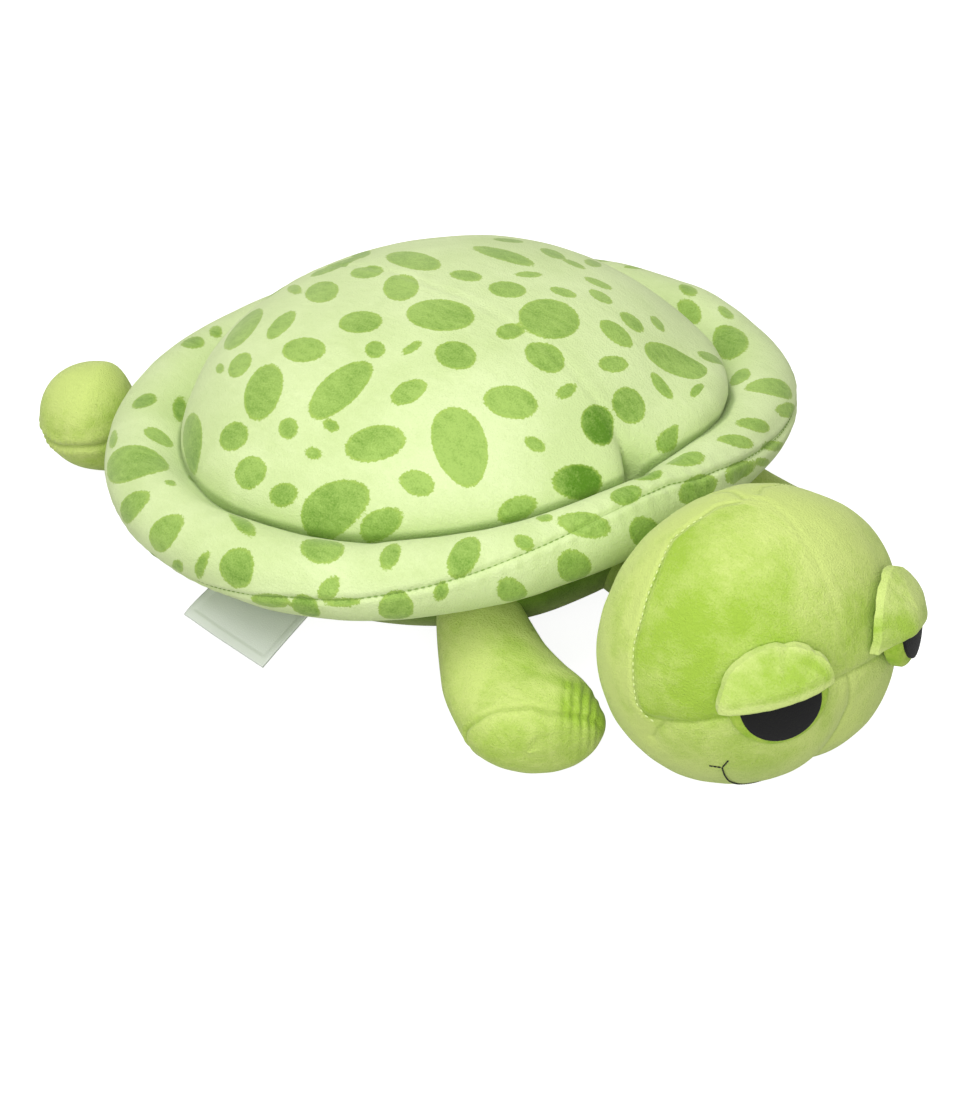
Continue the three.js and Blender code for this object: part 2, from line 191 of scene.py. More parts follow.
def sewn(distance, depth, width, puff):
    # a seam draws the cloth in; the pile swells a little beside it
    distance = np.minimum(distance, farFromSeam)
    beside = (distance - 2.6 * width) / (1.5 * width)
    return -depth * np.exp(-(distance / width) ** 2) + puff * np.exp(-beside ** 2)


# Materials

def newMaterial(name):
    material = bpy.data.materials.new(name)
    material.use_nodes = True
    material.node_tree.nodes.clear()
    return material


def addNode(tree, kind, label="", **settings):
    node = tree.nodes.new(kind)
    node.label = label
    for key, value in settings.items():
        setattr(node, key, value)
    return node


def feed(socket, value):
    # a plain value, or another node's output to link
    if isinstance(value, bpy.types.NodeSocket):
        socket.id_data.links.new(value, socket)
    else:
        socket.default_value = value


def setInputs(node, **values):
    for key, value in values.items():
        feed(node.inputs[key.replace("_", " ")], value)
    return node


def mathNode(tree, operation, first, second):
    node = addNode(tree, "ShaderNodeMath", operation=operation)
    for socket, value in zip(node.inputs, (first, second)):
        feed(socket, value)
    return node.outputs[0]


def mixColour(tree, share, first, second):
    node = addNode(tree, "ShaderNodeMix", data_type="RGBA")
    for index, value in ((0, share), (6, first), (7, second)):
        feed(node.inputs[index], value)
    return node.outputs[2]


def mixShaders(tree, share, first, second):
    node = addNode(tree, "ShaderNodeMixShader")
    for socket, value in zip(node.inputs, (share, first, second)):
        feed(socket, value)
    return node.outputs[0]


def noiseNode(tree, label, place, **settings):
    return setInputs(addNode(tree, "ShaderNodeTexNoise", label), Vector=place, **settings).outputs[0]


def rangeNode(tree, value, kind="LINEAR", **limits):
    return setInputs(addNode(tree, "ShaderNodeMapRange", interpolation_type=kind), Value=value, **limits).outputs[0]


def painted(tree, name):
    return addNode(tree, "ShaderNodeAttribute", attribute_name=name).outputs["Fac"]


def blended(tree, first, firstShare, second, secondShare):
    return mathNode(tree, "ADD", mathNode(tree, "MULTIPLY", first, firstShare),
                    mathNode(tree, "MULTIPLY", second, secondShare))


# sizes are how fine a pattern is, per metre
pile = {"stretch": (1.0, 0.35, 0.8), "lean": (0.3, 0.2, 0.5), "streaks": 330, "streakShare": 0.45,
        "tips": 1150, "tipShare": 0.55, "patchShare": 0.55, "tuftShare": 0.45, "relief": 0.0012, "panelShade": 0.2}


def shortPileGroup():
    # how brushed short pile varies: tone over patches, streaks and grain, and its height
    tree = bpy.data.node_groups.new("short pile", "ShaderNodeTree")
    for name, way, kind in (("Place", "INPUT", "Vector"), ("Patch Size", "INPUT", "Float"),
                            ("Tone", "OUTPUT", "Float"), ("Height", "OUTPUT", "Float")):
        tree.interface.new_socket(name, in_out=way, socket_type=f"NodeSocket{kind}")
    given = addNode(tree, "NodeGroupInput").outputs
    patch = noiseNode(tree, "brushed patches", given["Place"], Detail=2, Roughness=0.5, Distortion=0.6,
                      Scale=mathNode(tree, "DIVIDE", 1, given["Patch Size"]))
    lying = setInputs(addNode(tree, "ShaderNodeMapping", "pile lies along the toy"), Vector=given["Place"],
                      Scale=pile["stretch"], Rotation=pile["lean"])
    streak = noiseNode(tree, "streaks", lying.outputs[0], Scale=pile["streaks"], Detail=3, Roughness=0.6)
    tips = noiseNode(tree, "pile tips", given["Place"], Scale=pile["tips"], Detail=2, Roughness=0.7)
    tuft = blended(tree, streak, pile["streakShare"], tips, pile["tipShare"])
    tone = blended(tree, patch, pile["patchShare"], tuft, pile["tuftShare"])
    setInputs(addNode(tree, "NodeGroupOutput"), Tone=tone, Height=tuft)
    return tree


shortPile = shortPileGroup()


def plushMaterial(name, deep, pale, look):
    # deep and pale are the pile brushed down and up, and also carry the light and shade painted on each piece; edges
    # seen at a slant are mixed lighter, a painted sheen
    material = newMaterial(name)
    tree = material.node_tree
    place = addNode(tree, "ShaderNodeTexCoord").outputs["Object"]
    group = addNode(tree, "ShaderNodeGroup", node_tree=shortPile)
    height = setInputs(group, Place=place, Patch_Size=look["patch"]).outputs["Height"]
    # the pile's tone per panel, and the light and shade painted on each piece
    shade = mathNode(tree, "MULTIPLY", painted(tree, "pileToneAndPaintedLight"), pile["panelShade"])
    brushed = mathNode(tree, "ADD", group.outputs["Tone"], shade)
    tone = rangeNode(tree, brushed, From_Min=look["tone"][0], From_Max=look["tone"][1])
    colour = mixColour(tree, tone, deep, pale)
    if "spots" in look:
        colour = spotted(tree, colour, brushed, height, place, look["spots"])
    # painted shade: cloth near a seam or crease is darkened toward the seam-shade colour
    seamShadeShare = rangeNode(tree, painted(tree, "seamRoom"), "SMOOTHSTEP", From_Min=0.1, From_Max=look["seamWidth"],
                       To_Min=look["seamShade"], To_Max=0)
    colour = mixColour(tree, seamShadeShare, colour, look["seamShadeColour"])
    # painted sheen: where the cloth is seen at a slant its colour is mixed toward a pale sheen colour
    slant = setInputs(addNode(tree, "ShaderNodeLayerWeight"), Blend=0.35).outputs["Facing"]
    edge = rangeNode(tree, slant, "SMOOTHSTEP", From_Min=0.3, From_Max=0.95, To_Min=0, To_Max=look["edge"])
    colour = mixColour(tree, edge, colour, look["sheenColour"])
    relief = setInputs(addNode(tree, "ShaderNodeBump"), Strength=look["relief"], Distance=pile["relief"], Height=height)
    surface = setInputs(addNode(tree, "ShaderNodeBsdfPrincipled"), Roughness=0.92, Sheen_Weight=look["sheen"],
                        Sheen_Roughness=0.5, Sheen_Tint=look["sheenColour"], Specular_IOR_Level=0.15,
                        Base_Color=colour, Normal=relief.outputs[0])
    setInputs(addNode(tree, "ShaderNodeOutputMaterial"), Surface=surface.outputs[0])
    return material


def spotted(tree, ground, brushed, tufts, place, spots):
    # printed spots: the pile tips at their edge stay a little yellower
    ragged = noiseNode(tree, "ragged edge", place, Scale=spots["tuftScale"], Detail=2, Roughness=0.75)
    pushed = mathNode(tree, "MULTIPLY", mathNode(tree, "SUBTRACT", ragged, 0.5), spots["ragged"])
    frayed = mathNode(tree, "ADD", painted(tree, "spotRoom"), pushed)
    edge = rangeNode(tree, frayed, From_Min=0.25, From_Max=-0.2)
    fringe = rangeNode(tree, frayed, From_Min=-1.3, From_Max=-0.1, To_Min=0, To_Max=spots["fringeShare"])
    grain = mathNode(tree, "MULTIPLY", mathNode(tree, "SUBTRACT", tufts, 0.5), spots["grain"])
    tone = rangeNode(tree, mathNode(tree, "ADD", brushed, grain), From_Min=spots["tone"][0], From_Max=spots["tone"][1])
    spot = mixColour(tree, tone, spots["deep"], spots["pale"])
    return mixColour(tree, edge, ground, mixColour(tree, fringe, spot, spots["fringe"]))


# each look paints a pale sheen on slanting edges, and painted shade in seams and creases with its own depth, width and
# colour
limeLook = {"patch": 0.026, "tone": (0.37, 0.63), "relief": 1.0, "seamShade": 0.3, "seamWidth": 1.3,
            "seamShadeColour": srgb(120, 150, 48), "sheen": 0.15, "edge": 0.6, "sheenColour": srgb(222, 236, 164)}
spottedLook = {"patch": 0.045, "tone": (0.38, 0.62), "relief": 0.8, "seamShade": 0.6, "seamWidth": 1.2,
               "seamShadeColour": srgb(104, 138, 50), "sheen": 0.1, "edge": 0.3, "sheenColour": srgb(236, 246, 204),
               "spots": {"deep": srgb(92, 138, 36), "pale": srgb(170, 203, 104), "fringe": srgb(176, 203, 92),
                         "fringeShare": 0.55, "ragged": 2.4, "tuftScale": 760, "grain": 0.7, "tone": (0.1, 0.64)}}

limePlush = plushMaterial("lime plush", srgb(166, 200, 72), srgb(208, 226, 130), limeLook)
lidPlush = plushMaterial("lid plush", srgb(170, 203, 80), srgb(210, 228, 136), {**limeLook, "patch": 0.018})
spottedPlush = plushMaterial("spotted plush", srgb(208, 227, 160), srgb(224, 240, 180), spottedLook)


def plainMaterial(name, colour, roughness, sheen=0.0, weave=None):
    # weave: how strong and how fine the cloth's grain is
    material = newMaterial(name)
    tree = material.node_tree
    surface = setInputs(addNode(tree, "ShaderNodeBsdfPrincipled"), Base_Color=colour, Roughness=roughness,
                        Sheen_Weight=sheen)
    if weave:
        place = addNode(tree, "ShaderNodeTexCoord").outputs["Object"]
        relief = setInputs(addNode(tree, "ShaderNodeBump"), Strength=weave[0], Distance=0.0004,
                           Height=noiseNode(tree, "weave", place, Scale=weave[1], Detail=2))
        setInputs(surface, Normal=relief.outputs[0])
    setInputs(addNode(tree, "ShaderNodeOutputMaterial"), Surface=surface.outputs[0])
    return material


blackFelt = plainMaterial("black felt", srgb(13, 13, 14), 0.95, sheen=0.05, weave=(0.6, 1400))
blackThread = plainMaterial("black thread", srgb(30, 34, 24), 0.7)
# the rim thread is darker than the cloth, partly its own colour and partly painted shade for the dips between stitches
rimThreadAndStitchShade = plainMaterial("rim thread", srgb(132, 166, 70), 0.7)
headThread = plainMaterial("head thread", srgb(222, 236, 160), 0.7)
# painted shade: the belly is a darker copy of the lime plush, standing in for the shade under the rim
bellyPlushInPaintedShade = plushMaterial("belly plush in painted shade", srgb(84, 118, 22), srgb(122, 158, 52), limeLook)
whiteSatin = plainMaterial("white satin", srgb(215, 222, 210), 0.45, weave=(0.25, 2200))
padPlush = plushMaterial("pad plush", srgb(152, 194, 52), srgb(192, 220, 92),
                         {**limeLook, "patch": 0.006, "seamShade": 0.0, "edge": 0.2})
print("materials made")

# Body

body = {"halfWidth": 135.0, "halfLength": 128.0, "rise": 75.0, "drop": 61.0, "domePower": 2 / 2.15,
        "bellyPower": 2 / 2.7, "lean": -7.0, "fineness": {"dome": 7, "belly": 6}, "seamDepth": 0.8, "seamWidth": 1.3,
        # lumps: size, seed and height of each kind
        "domeLumps": [(55, 1, 0.9), (21, 14, 0.3)], "bellyLumps": [(40, 2, 0.8)],
        # the fold along the seam, the bulges and the hollow beside it: height, distance from the seam and width
        "foldTop": 42, "foldFoot": 12, "fold": (-9.0, 0, 4.4), "lip": (1.6, 13, 7), "hollow": (-3.0, 8, 8),
        # the same with a level and its width: the pocket at the roll, and a slump at the left, by bearing
        "pocket": (-5.0, 0, 8, 15, 9), "slump": (-4.5, 84, 30, 38, 18),
        # how far the dome bulges over the roll, by bearing, and at what height and over what width
        "overhang": [(-180, 0), (-137, -1), (-112, 2.2), (-85, 5.2), (-60, 5.6), (-30, 5.2), (-12, 4.8), (0, 3.4),
                     (8, 6.5), (15, 11.5), (22, 13.5), (31, 12), (42, 6.5), (58, 1.5), (80, -1), (120, -1), (180, 0)],
        "overhangLevel": (21, 12), "nearRadius": 125.0,
        # painted shade: patches at the front of the dome by the fold, how much they darken it, and how much the dome's
        # foot by the roll is darkened
        "paintedShadePatches": [(-37, -118), (-13, -112)], "paintedShadeDepth": 1.9, "footShade": 0.4}
bodyTurn = turned("X", body["lean"])
seenFrom = bodyTurn.T @ np.array([-0.5855, -0.5517, 0.5940])  # towards the camera, in the body's frame
spotDraw = {"domeTries": 900, "domeSpacing": 3, "domeSizes": [5, 7, 9, 11, 14, 17], "domeReach": 124,
           "rimTries": 1200, "rimSpacing": 2.5, "rimSizes": [5, 7, 9, 12, 15]}


def bodyPoints(unit, tall, power):
    # tall: the half height, which may change from point to point
    flat = np.maximum(np.hypot(unit[:, 0], unit[:, 1]), 1e-9)
    spread = flat ** (power - 1)
    rise = np.sign(unit[:, 2]) * np.abs(unit[:, 2]) ** power * tall
    return np.column_stack([unit[:, 0] * spread * body["halfWidth"],
                            unit[:, 1] * spread * body["halfLength"], rise])


def equatorReach(bearing):
    return 1 / np.hypot(np.sin(bearing) / body["halfWidth"], np.cos(bearing) / body["halfLength"])


# Dome spots as measured: x and y over the dome, half length, half width, lean in degrees
domeSpots = [
    (44, -1, 19.3, 6.5, -88), (68, -11, 9.3, 5.1, 68), (12, 29, 19.4, 8.8, 82), (-3, 70, 13.2, 8.6, -14),
    (82, -25, 8.6, 4.1, 32), (-8, 41, 9.9, 7.1, 83), (12, -7, 8.8, 5.5, -83), (-14, 11, 15.0, 8.5, 52),
    (61, -47, 7.2, 4.1, -71), (-31, 49, 14.2, 7.8, 62), (15, -31, 9.0, 8.0, -65), (35, -48, 6.6, 4.4, -72),
    (-23, -24, 16.7, 12.8, -75), (-47, 5, 11.7, 8.6, -86), (-60, 76, 20.5, 9.9, 41),
    (-60, 47, 11.7, 6.4, 27), (33, -82, 9.0, 6.5, 78), (-73, 17, 13.4, 7.8, 88), (-59, -17, 6.3, 4.6, 63),
    (-49, -31, 5.7, 2.8, -3), (-10, -77, 9.7, 8.6, 84), (51, -100, 13.6, 9.2, -19), (-40, -50, 10.0, 8.4, -83),
    (-87, 48, 9.8, 5.7, 57), (16, -95, 8.1, 4.1, -9), (76, -98, 7.0, 3.8, 7), (-84, -19, 17.5, 10.5, -6),
    (-98, 19, 16.6, 9.5, 49), (31, -109, 5.8, 3.4, 62), (-69, -48, 8.8, 5.8, -17), (-41, -84, 12.0, 7.9, -44),
    (-16, -95, 6.4, 2.6, -1), (45, -116, 6.8, 3.1, 12), (-71, -80, 15.1, 12.0, 66), (-109, -9, 6.0, 3.9, 80),
    (-100, -28, 4.7, 2.3, -87), (-118, 19, 9.6, 4.8, 83), (-95, -51, 13.9, 7.1, -50), (14, -123, 8.1, 1.8, 5),
    (-46, -102, 4.6, 2.6, -51), (-112, -28, 4.4, 2.1, -80), (-126, -2, 9.2, 4.0, -89), (-39, -117, 11.6, 3.2, -21),
    (-94, -75, 7.8, 3.6, -58), (-126, -24, 7.2, 2.5, -74), (-67, -107, 9.1, 1.8, -27), (-110, -68, 9.8, 2.3, -48),
    (12, -60, 16.1, 13.8, 24), (-10, -56, 7.4, 5.1, -6), (-14, -111, 9.6, 6.4, 9), (7, -111, 9.6, 6.0, 12),
    (-116, 53, 19.7, 4.5, 60), (35, -26, 7.0, 3.5, -33), (50, -58, 6.9, 4.8, 76), (49, -78, 7.1, 5.1, 66),
    (-118, -48, 15.7, 5.4, -56), (-28, 73, 12.4, 2.8, 61), (-88, 62, 5.9, 1.8, 61), (65, -80, 5.7, 3.2, 55),
    (15, 70, 12.2, 4.9, 52), (67, -26, 6.8, 3.4, -89), (67, 18, 7.8, 5.6, -63)]

# Rim spots as measured: bearing and turn round the roll in degrees, half length, half width, lean
rimSpots = [
    (-170, 91, 6.6, 2.9, 29), (-164, 83, 7.3, 5.0, 25), (-140, 82, 7.7, 5.1, -2), (-126, 111, 9.9, 5.6, 27),
    (-118, 65, 20.8, 11.7, 33), (-12, 69, 8.5, 6.0, -3), (-108, 29, 12.3, 6.8, 52), (-22, 49, 13.2, 6.1, -34),
    (-97, 30, 12.1, 7.6, 57), (-33, 53, 5.3, 3.2, -56), (-43, 56, 10.8, 6.5, 65), (-55, 72, 7.5, 4.3, 85),
    (-80, 27, 9.3, 8.5, 83), (-87, 12, 8.5, 2.7, 69), (-64, 22, 6.5, 3.8, 62), (-62, 3, 7.0, 2.2, 4),
    (-47, 10, 4.8, 2.9, 75), (-74, -12, 9.3, 4.4, 17), (-68, -14, 8.2, 6.0, 86), (-140, 133, 12.8, 3.4, 8),
    (-85, 99, 15.4, 3.6, -25), (-54, -11, 9.8, 6.9, 84), (-36, -20, 10.5, 5.6, -67), (-25, -14, 12.1, 7.2, -64),
    (-11, -2, 10.5, 6.8, -49), (-67, 83, 11.1, 7.9, -23), (-130, 42, 8.7, 3.0, 6), (-28, 88, 4.4, 3.3, -55),
    (-106, 94, 3.7, 2.2, 7), (-93, -11, 6.3, 3.0, 49), (80, 83, 8.0, 3.5, -14), (74, 116, 12.0, 5.0, -10),
    (57, 108, 19.0, 8.0, 0), (68, 78, 8.0, 2.9, -8), (41, 108, 9.0, 5.0, 0), (37, 60, 13.0, 7.5, -54),
    (34, 23, 11.0, 3.9, -30), (23, 54, 9.8, 4.5, -45), (16, 54, 9.7, 4.1, -42), (25, 1, 12.0, 2.6, -32),
    (20, -5, 9.0, 2.1, -33), (13, 8, 12.0, 5.6, -16), (4, 79, 10.0, 6.0, -25), (2, 23, 12.0, 6.8, -5),
    (-5, 88, 7.7, 5.0, -28)]


def spotRoomOf(points, spots, wrap=None):
    # how far outside the nearest spot each point lies; below zero inside one
    room = np.full(len(points), 30.0)
    for x, y, long, wide, lean in spots:
        turn = math.radians(lean)
        dx, dy = points[:, 0] - x, points[:, 1] - y
        if wrap:
            dx = (dx + wrap / 2) % wrap - wrap / 2
        along = (dx * math.cos(turn) + dy * math.sin(turn)) / long
        across = (dy * math.cos(turn) - dx * math.sin(turn)) / wide
        reach = np.hypot(along, across)
        room = np.minimum(room, (reach - 1) * wide)
    return room


def scattered(measured, draw, isSeen, tries, spacing):
    # more spots of the same kind for the sides that the photograph doesn't show
    placed = list(measured)
    for _ in range(tries):
        spot = draw()
        if isSeen(spot):
            continue
        if all(math.dist(spot[:2], other[:2]) > spot[2] + other[2] + spacing for other in placed):
            placed.append(spot)
    return placed


def drawDomeSpot():
    angle, reach = chance.uniform(0, 2 * math.pi), spotDraw["domeReach"] * math.sqrt(chance.uniform(0.02, 1))
    long = chance.choice(spotDraw["domeSizes"])
    return (reach * math.sin(angle), reach * math.cos(angle), long, long * chance.uniform(0.5, 0.75),
            chance.uniform(-90, 90))


def domeSpotSeen(spot):
    x, y = spot[0] / body["halfWidth"], spot[1] / body["halfLength"]
    height = math.sqrt(max(0.02, 1 - x * x - y * y))
    normal = unitOf(np.array([x / body["halfWidth"], y / body["halfLength"], height / body["rise"]]))
    return float(normal @ seenFrom) > 0.12


def domeSeam():
    # from the back over the top to the front, a little to one side of the middle
    along = np.linspace(-1, 1, 400)
    across = -0.03 - 0.035 * smoothStep(0.6, 1.0, -np.sin(along * math.pi / 2)) + 0.008 * np.sin(along * 5)
    unit = np.column_stack([across, np.sin(along * math.pi / 2), np.cos(along * math.pi / 2)])
    return bodyPoints(unit, body["rise"], body["domePower"])


def overhangAt(points):
    return tableAt(body["overhang"], bearingOf(points)) * bump(points[:, 2], *body["overhangLevel"])


def buildDome():
    shape = ballMesh(body["fineness"]["dome"])
    unit = pointsOf(shape)
    unit[:, 2] = np.where(unit[:, 2] < 0, unit[:, 2] * 0.1, unit[:, 2])
    points = bodyPoints(unit, body["rise"], body["domePower"])
    normals = normalsOf(shape, points)
    distance = nearestOn(points, domeSeam(), 30.0)
    height = points[:, 2]
    inFront = points[:, 1] < 0
    # towards the roll the seam sinks into a fold between two bulges
    fold = smoothStep(body["foldTop"], body["foldFoot"], height)
    crease = fold * (ridge(distance, body["fold"]) + ridge(distance, body["lip"])
                     + ridge(distance, body["hollow"]) * smoothStep(-12, 0, points[:, 0]) * inFront)
    crease += swelling(distance, height, body["pocket"]) * inFront
    over = overhangAt(points) + swelling(bearingOf(points), height, body["slump"])
    push = (sewn(distance, body["seamDepth"], body["seamWidth"], 0.2) + crease) * smoothStep(0, 12, height)
    push += over + lumpy(points, body["domeLumps"])
    moved = points + normals * push[:, None]
    spots = scattered(domeSpots, drawDomeSpot, domeSpotSeen, spotDraw["domeTries"], spotDraw["domeSpacing"])
    # where the dome bulges far over the roll, the print isn't drawn out with it
    printed = points + (moved - points) * smoothStep(5, 12, over)[:, None]
    piece = pieceFrom("shell_dome", shape, moved @ bodyTurn.T, spottedPlush)
    paint(piece, "spotRoom", spotRoomOf(printed[:, :2], spots) / np.maximum(normals[:, 2], 0.3))
    # painted shade: the seam's groove, the deep fold at the front and the crease against the roll are darkened
    seamRoom = distance * (1 - 0.75 * fold) + 0.7 * (1 - fold)
    paint(piece, "seamRoom", np.minimum(seamRoom, roomToRoll(moved) * 0.35))
    # painted shade on the dome: darker patches by the front fold and a darker foot by the roll
    paintedShadePatches = sum(bump(np.hypot(points[:, 0] - x, points[:, 1] - y), 0, 11) for x, y in body["paintedShadePatches"])
    paint(piece, "pileToneAndPaintedLight", -body["paintedShadeDepth"] * paintedShadePatches - body["footShade"] * smoothStep(36, 12, height))
    stuffed(piece, "body", ["shell_cover_right", "shell_cover_left", "body_filling"])


def roomToRoll(points):
    # how far points of the dome are from the roll's surface
    middle, halfWidth, rise = rimSection(np.radians(bearingOf(points)))
    away = np.hypot((np.hypot(points[:, 0], points[:, 1]) - middle) / halfWidth,
                    (points[:, 2] - rise) / rim["halfThick"])
    return np.maximum(0, (away - 1) * rim["halfThick"])


def roomToDome(points):
    # how far points of the roll are from the dome's surface
    power = 2 / body["domePower"]
    flat = np.hypot(points[:, 0] / body["halfWidth"], points[:, 1] / body["halfLength"])
    size = (flat ** power + (np.maximum(0, points[:, 2]) / body["rise"]) ** power) ** (1 / power)
    return np.maximum(0, (size - 1) * body["nearRadius"] - overhangAt(points))


def buildBelly():
    shape = ballMesh(body["fineness"]["belly"])
    unit = pointsOf(shape)
    unit[:, 2] = np.where(unit[:, 2] > 0, unit[:, 2] * 0.1, unit[:, 2])
    deeper = bodyPoints(unit, 1.0, body["bellyPower"])[:, 1] * math.tan(math.radians(body["lean"]))
    points = bodyPoints(unit, body["drop"] + deeper, body["bellyPower"])
    normals = normalsOf(shape, points)
    push = lumpy(points, body["bellyLumps"]) * smoothStep(0, -14, points[:, 2])
    piece = pieceFrom("belly", shape, rested((points + normals * push[:, None]) @ bodyTurn.T), bellyPlushInPaintedShade)
    paint(piece, "seamRoom", farFromSeam)
    stuffed(piece, "body", ["belly_cover"])


# Rim

rim = {"outer": 170.0, "halfThick": 17.5, "bite": 5.0, "push": 17.0, "pushRise": 4.0, "pushTurn": 62.0,
       "headBearing": -8.8, "around": 560, "section": 88, "gather": 1.4, "seamDepth": 0.9, "seamWidth": 1.2,
       "foldDepth": 1.0, "foldAt": (26, 16), "pucker": [(-60, 0.12), (-35, 0.5), (5, 0.5), (25, 0.12)],
       "puckerLength": 1.35, "shoulder": (-1.6, 128, 26), "lumps": [(38, 3, 0.9), (14, 15, 0.25)], "lowShade": 1.2,
       "flatAlong": 150, "flatRound": 18,  # the radii at which the cloth's spots are laid out flat
       "stitch": {"pitch": 3.0, "length": 1.9, "thick": 0.28},
       "seamTurn": [(-180, -8), (-150, -16), (-112, -31), (-92, -30), (-86, -26), (-77, -10), (-70, 2),
                    (-62, 6), (-54, 15), (-48, 21), (-42, 27), (-35, 35), (-25, 44), (-18, 50), (-9, 54),
                    (-3, 52), (3, 38), (8, 33), (14, 23), (28, 6), (60, -6), (110, -8), (180, -8)],
       # dents where the roll is pinched: bearing, turn, their widths in degrees and the depth
       "dents": [(-4, 128, 3.5, 30, 3.2), (3, 100, 3.0, 16, 1.4), (14, -8, 3.0, 26, 2.4), (27, 20, 7.0, 20, 1.4),
                 (-96, 132, 8.0, 22, 1.2), (-60, 120, 3.0, 24, 0.8), (64, 128, 4.0, 24, 1.2)]}


def rimSection(bearing):
    # bearing in radians: the section's middle, half width and rise
    off = turnBetween(np.degrees(bearing), rim["headBearing"])
    push = (1 + np.cos(np.pi * np.minimum(1, np.abs(off) / rim["pushTurn"]))) / 2
    inner = equatorReach(bearing) - rim["bite"]
    outer = rim["outer"] - rim["push"] * push
    return (inner + outer) / 2, (outer - inner) / 2, rim["pushRise"] * push


def seamTurnAt(bearing):
    return np.radians(tableAt(rim["seamTurn"], np.degrees(bearing)))


def rimPoint(bearing, turn, extra=0.0):
    middle, halfWidth, rise = rimSection(bearing)
    reach = middle + (halfWidth + extra) * np.cos(turn)
    height = rise + (rim["halfThick"] + extra) * np.sin(turn)
    return np.column_stack([reach * np.sin(bearing), -reach * np.cos(bearing), height])


def drawRimSpot():
    long = chance.choice(spotDraw["rimSizes"])
    return (rim["flatAlong"] * chance.uniform(-math.pi, math.pi), rim["flatRound"] * chance.uniform(-math.pi, math.pi),
            long, long * chance.uniform(0.45, 0.7), chance.uniform(-90, 90))


def rimSpotSeen(spot):
    bearing, turn = spot[0] / rim["flatAlong"], spot[1] / rim["flatRound"]
    normal = np.array([math.cos(turn) * math.sin(bearing), -math.cos(turn) * math.cos(bearing), math.sin(turn)])
    # the dome hides the roll between these bearings
    return float(normal @ seenFrom) > 0.08 and not 60 < math.degrees(bearing) < 165


def rimDents(bearing, turn):
    depth = np.zeros(len(bearing))
    for at, over, long, wide, deep in rim["dents"]:
        depth += swelling(turnBetween(bearing, at), turnBetween(turn, over), (-deep, 0, long, 0, wide))
    return depth


def buildRim():
    shape = tubeRing(rim["around"], rim["section"])
    ring = pointsOf(shape)
    bearing = np.arctan2(ring[:, 0], -ring[:, 1])
    even = np.arctan2(ring[:, 2], np.hypot(ring[:, 0], ring[:, 1]) - 10) / math.pi
    offSeam = np.sign(even) * np.abs(even) ** rim["gather"] * math.pi
    turn = offSeam + seamTurnAt(bearing)
    distance = np.abs(offSeam) * rim["flatRound"]
    ripple = np.sin(bearing * rim["flatAlong"] / rim["puckerLength"] + 2 * lumps(ring * 15, 20, 4))
    nearSeam = bump(distance, 0, 7) * (1 - bump(distance, 0, 1.6))
    base = rimPoint(bearing, turn)
    degrees, turnDegrees = np.degrees(bearing), np.degrees(turn)
    folded = rim["foldDepth"] * bump(degrees, *rim["foldAt"])
    deep, at, wide = rim["shoulder"]
    push = (sewn(distance, rim["seamDepth"] + folded, rim["seamWidth"] + folded * 0.3, 0.3)
            + tableAt(rim["pucker"], degrees) * ripple * nearSeam + lumpy(base, rim["lumps"])
            + ridge(turnBetween(turnDegrees, at), (deep, 0, wide)) + rimDents(degrees, turnDegrees))
    points = rimPoint(bearing, turn, push)
    measured = [(math.radians(at) * rim["flatAlong"], math.radians(over) * rim["flatRound"], long, wide, lean)
                for at, over, long, wide, lean in rimSpots]
    spots = scattered(measured, drawRimSpot, rimSpotSeen, spotDraw["rimTries"], spotDraw["rimSpacing"])
    turnBack = (turn + math.pi) % (2 * math.pi) - math.pi
    flat = np.column_stack([bearing * rim["flatAlong"], turnBack * rim["flatRound"]])
    piece = pieceFrom("rim_roll", shape, points @ bodyTurn.T, spottedPlush)
    paint(piece, "spotRoom", spotRoomOf(flat, spots, 2 * math.pi * rim["flatAlong"]))
    # painted shade along the seam and in the crease against the dome
    paint(piece, "seamRoom", np.minimum(distance + 0.5, roomToDome(points) * 0.5))
    # painted shade: the roll darkens towards its underside
    paint(piece, "pileToneAndPaintedLight", -rim["lowShade"] * smoothStep(-4, -16, points[:, 2]))
    stuffed(piece, "body", ["rim_cover_upper", "rim_cover_lower", "rim_filling"])


def threadPiece(name, stitches, thick, material):
    # each stitch is a short rod with rounded ends, from its start to its end
    shape = bmesh.new()
    for start, end in stitches:
        made = bmesh.ops.create_uvsphere(shape, u_segments=6, v_segments=6, radius=1.0)
        start, end = Vector(start), Vector(end)
        along = end - start
        half = along.length / 2
        place = Matrix.Translation((start + end) / 2) @ along.to_track_quat("Z", "Y").to_matrix().to_4x4()
        bmesh.ops.transform(shape, matrix=place @ Matrix.Diagonal((thick, thick, half, 1)), verts=made["verts"])
    return pieceFrom(name, shape, pointsOf(shape), material)


def stitchesAlong(line, stitch):
    step = np.concatenate([[0], np.cumsum(np.linalg.norm(np.diff(line, axis=0), axis=1))])
    count = int(step[-1] / stitch["pitch"])
    stitches = []
    for index in range(count):
        start = index * step[-1] / count
        stitches.append([[np.interp(at, step, line[:, axis]) for axis in range(3)]
                         for at in (start, start + stitch["length"])])
    return stitches


def buildRimStitches():
    table = np.linspace(-math.pi, math.pi, 4000)
    sunk = rim["seamDepth"] + rim["foldDepth"] * bump(np.degrees(table), *rim["foldAt"])
    line = rimPoint(table, seamTurnAt(table), 0.1 - sunk) @ bodyTurn.T
    piece = threadPiece("rim_stitches", stitchesAlong(line, rim["stitch"]), rim["stitch"]["thick"], rimThreadAndStitchShade)
    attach(piece, "body")


buildDome()
buildBelly()
buildRim()
buildRimStitches()
print("body and rim made")

# Head

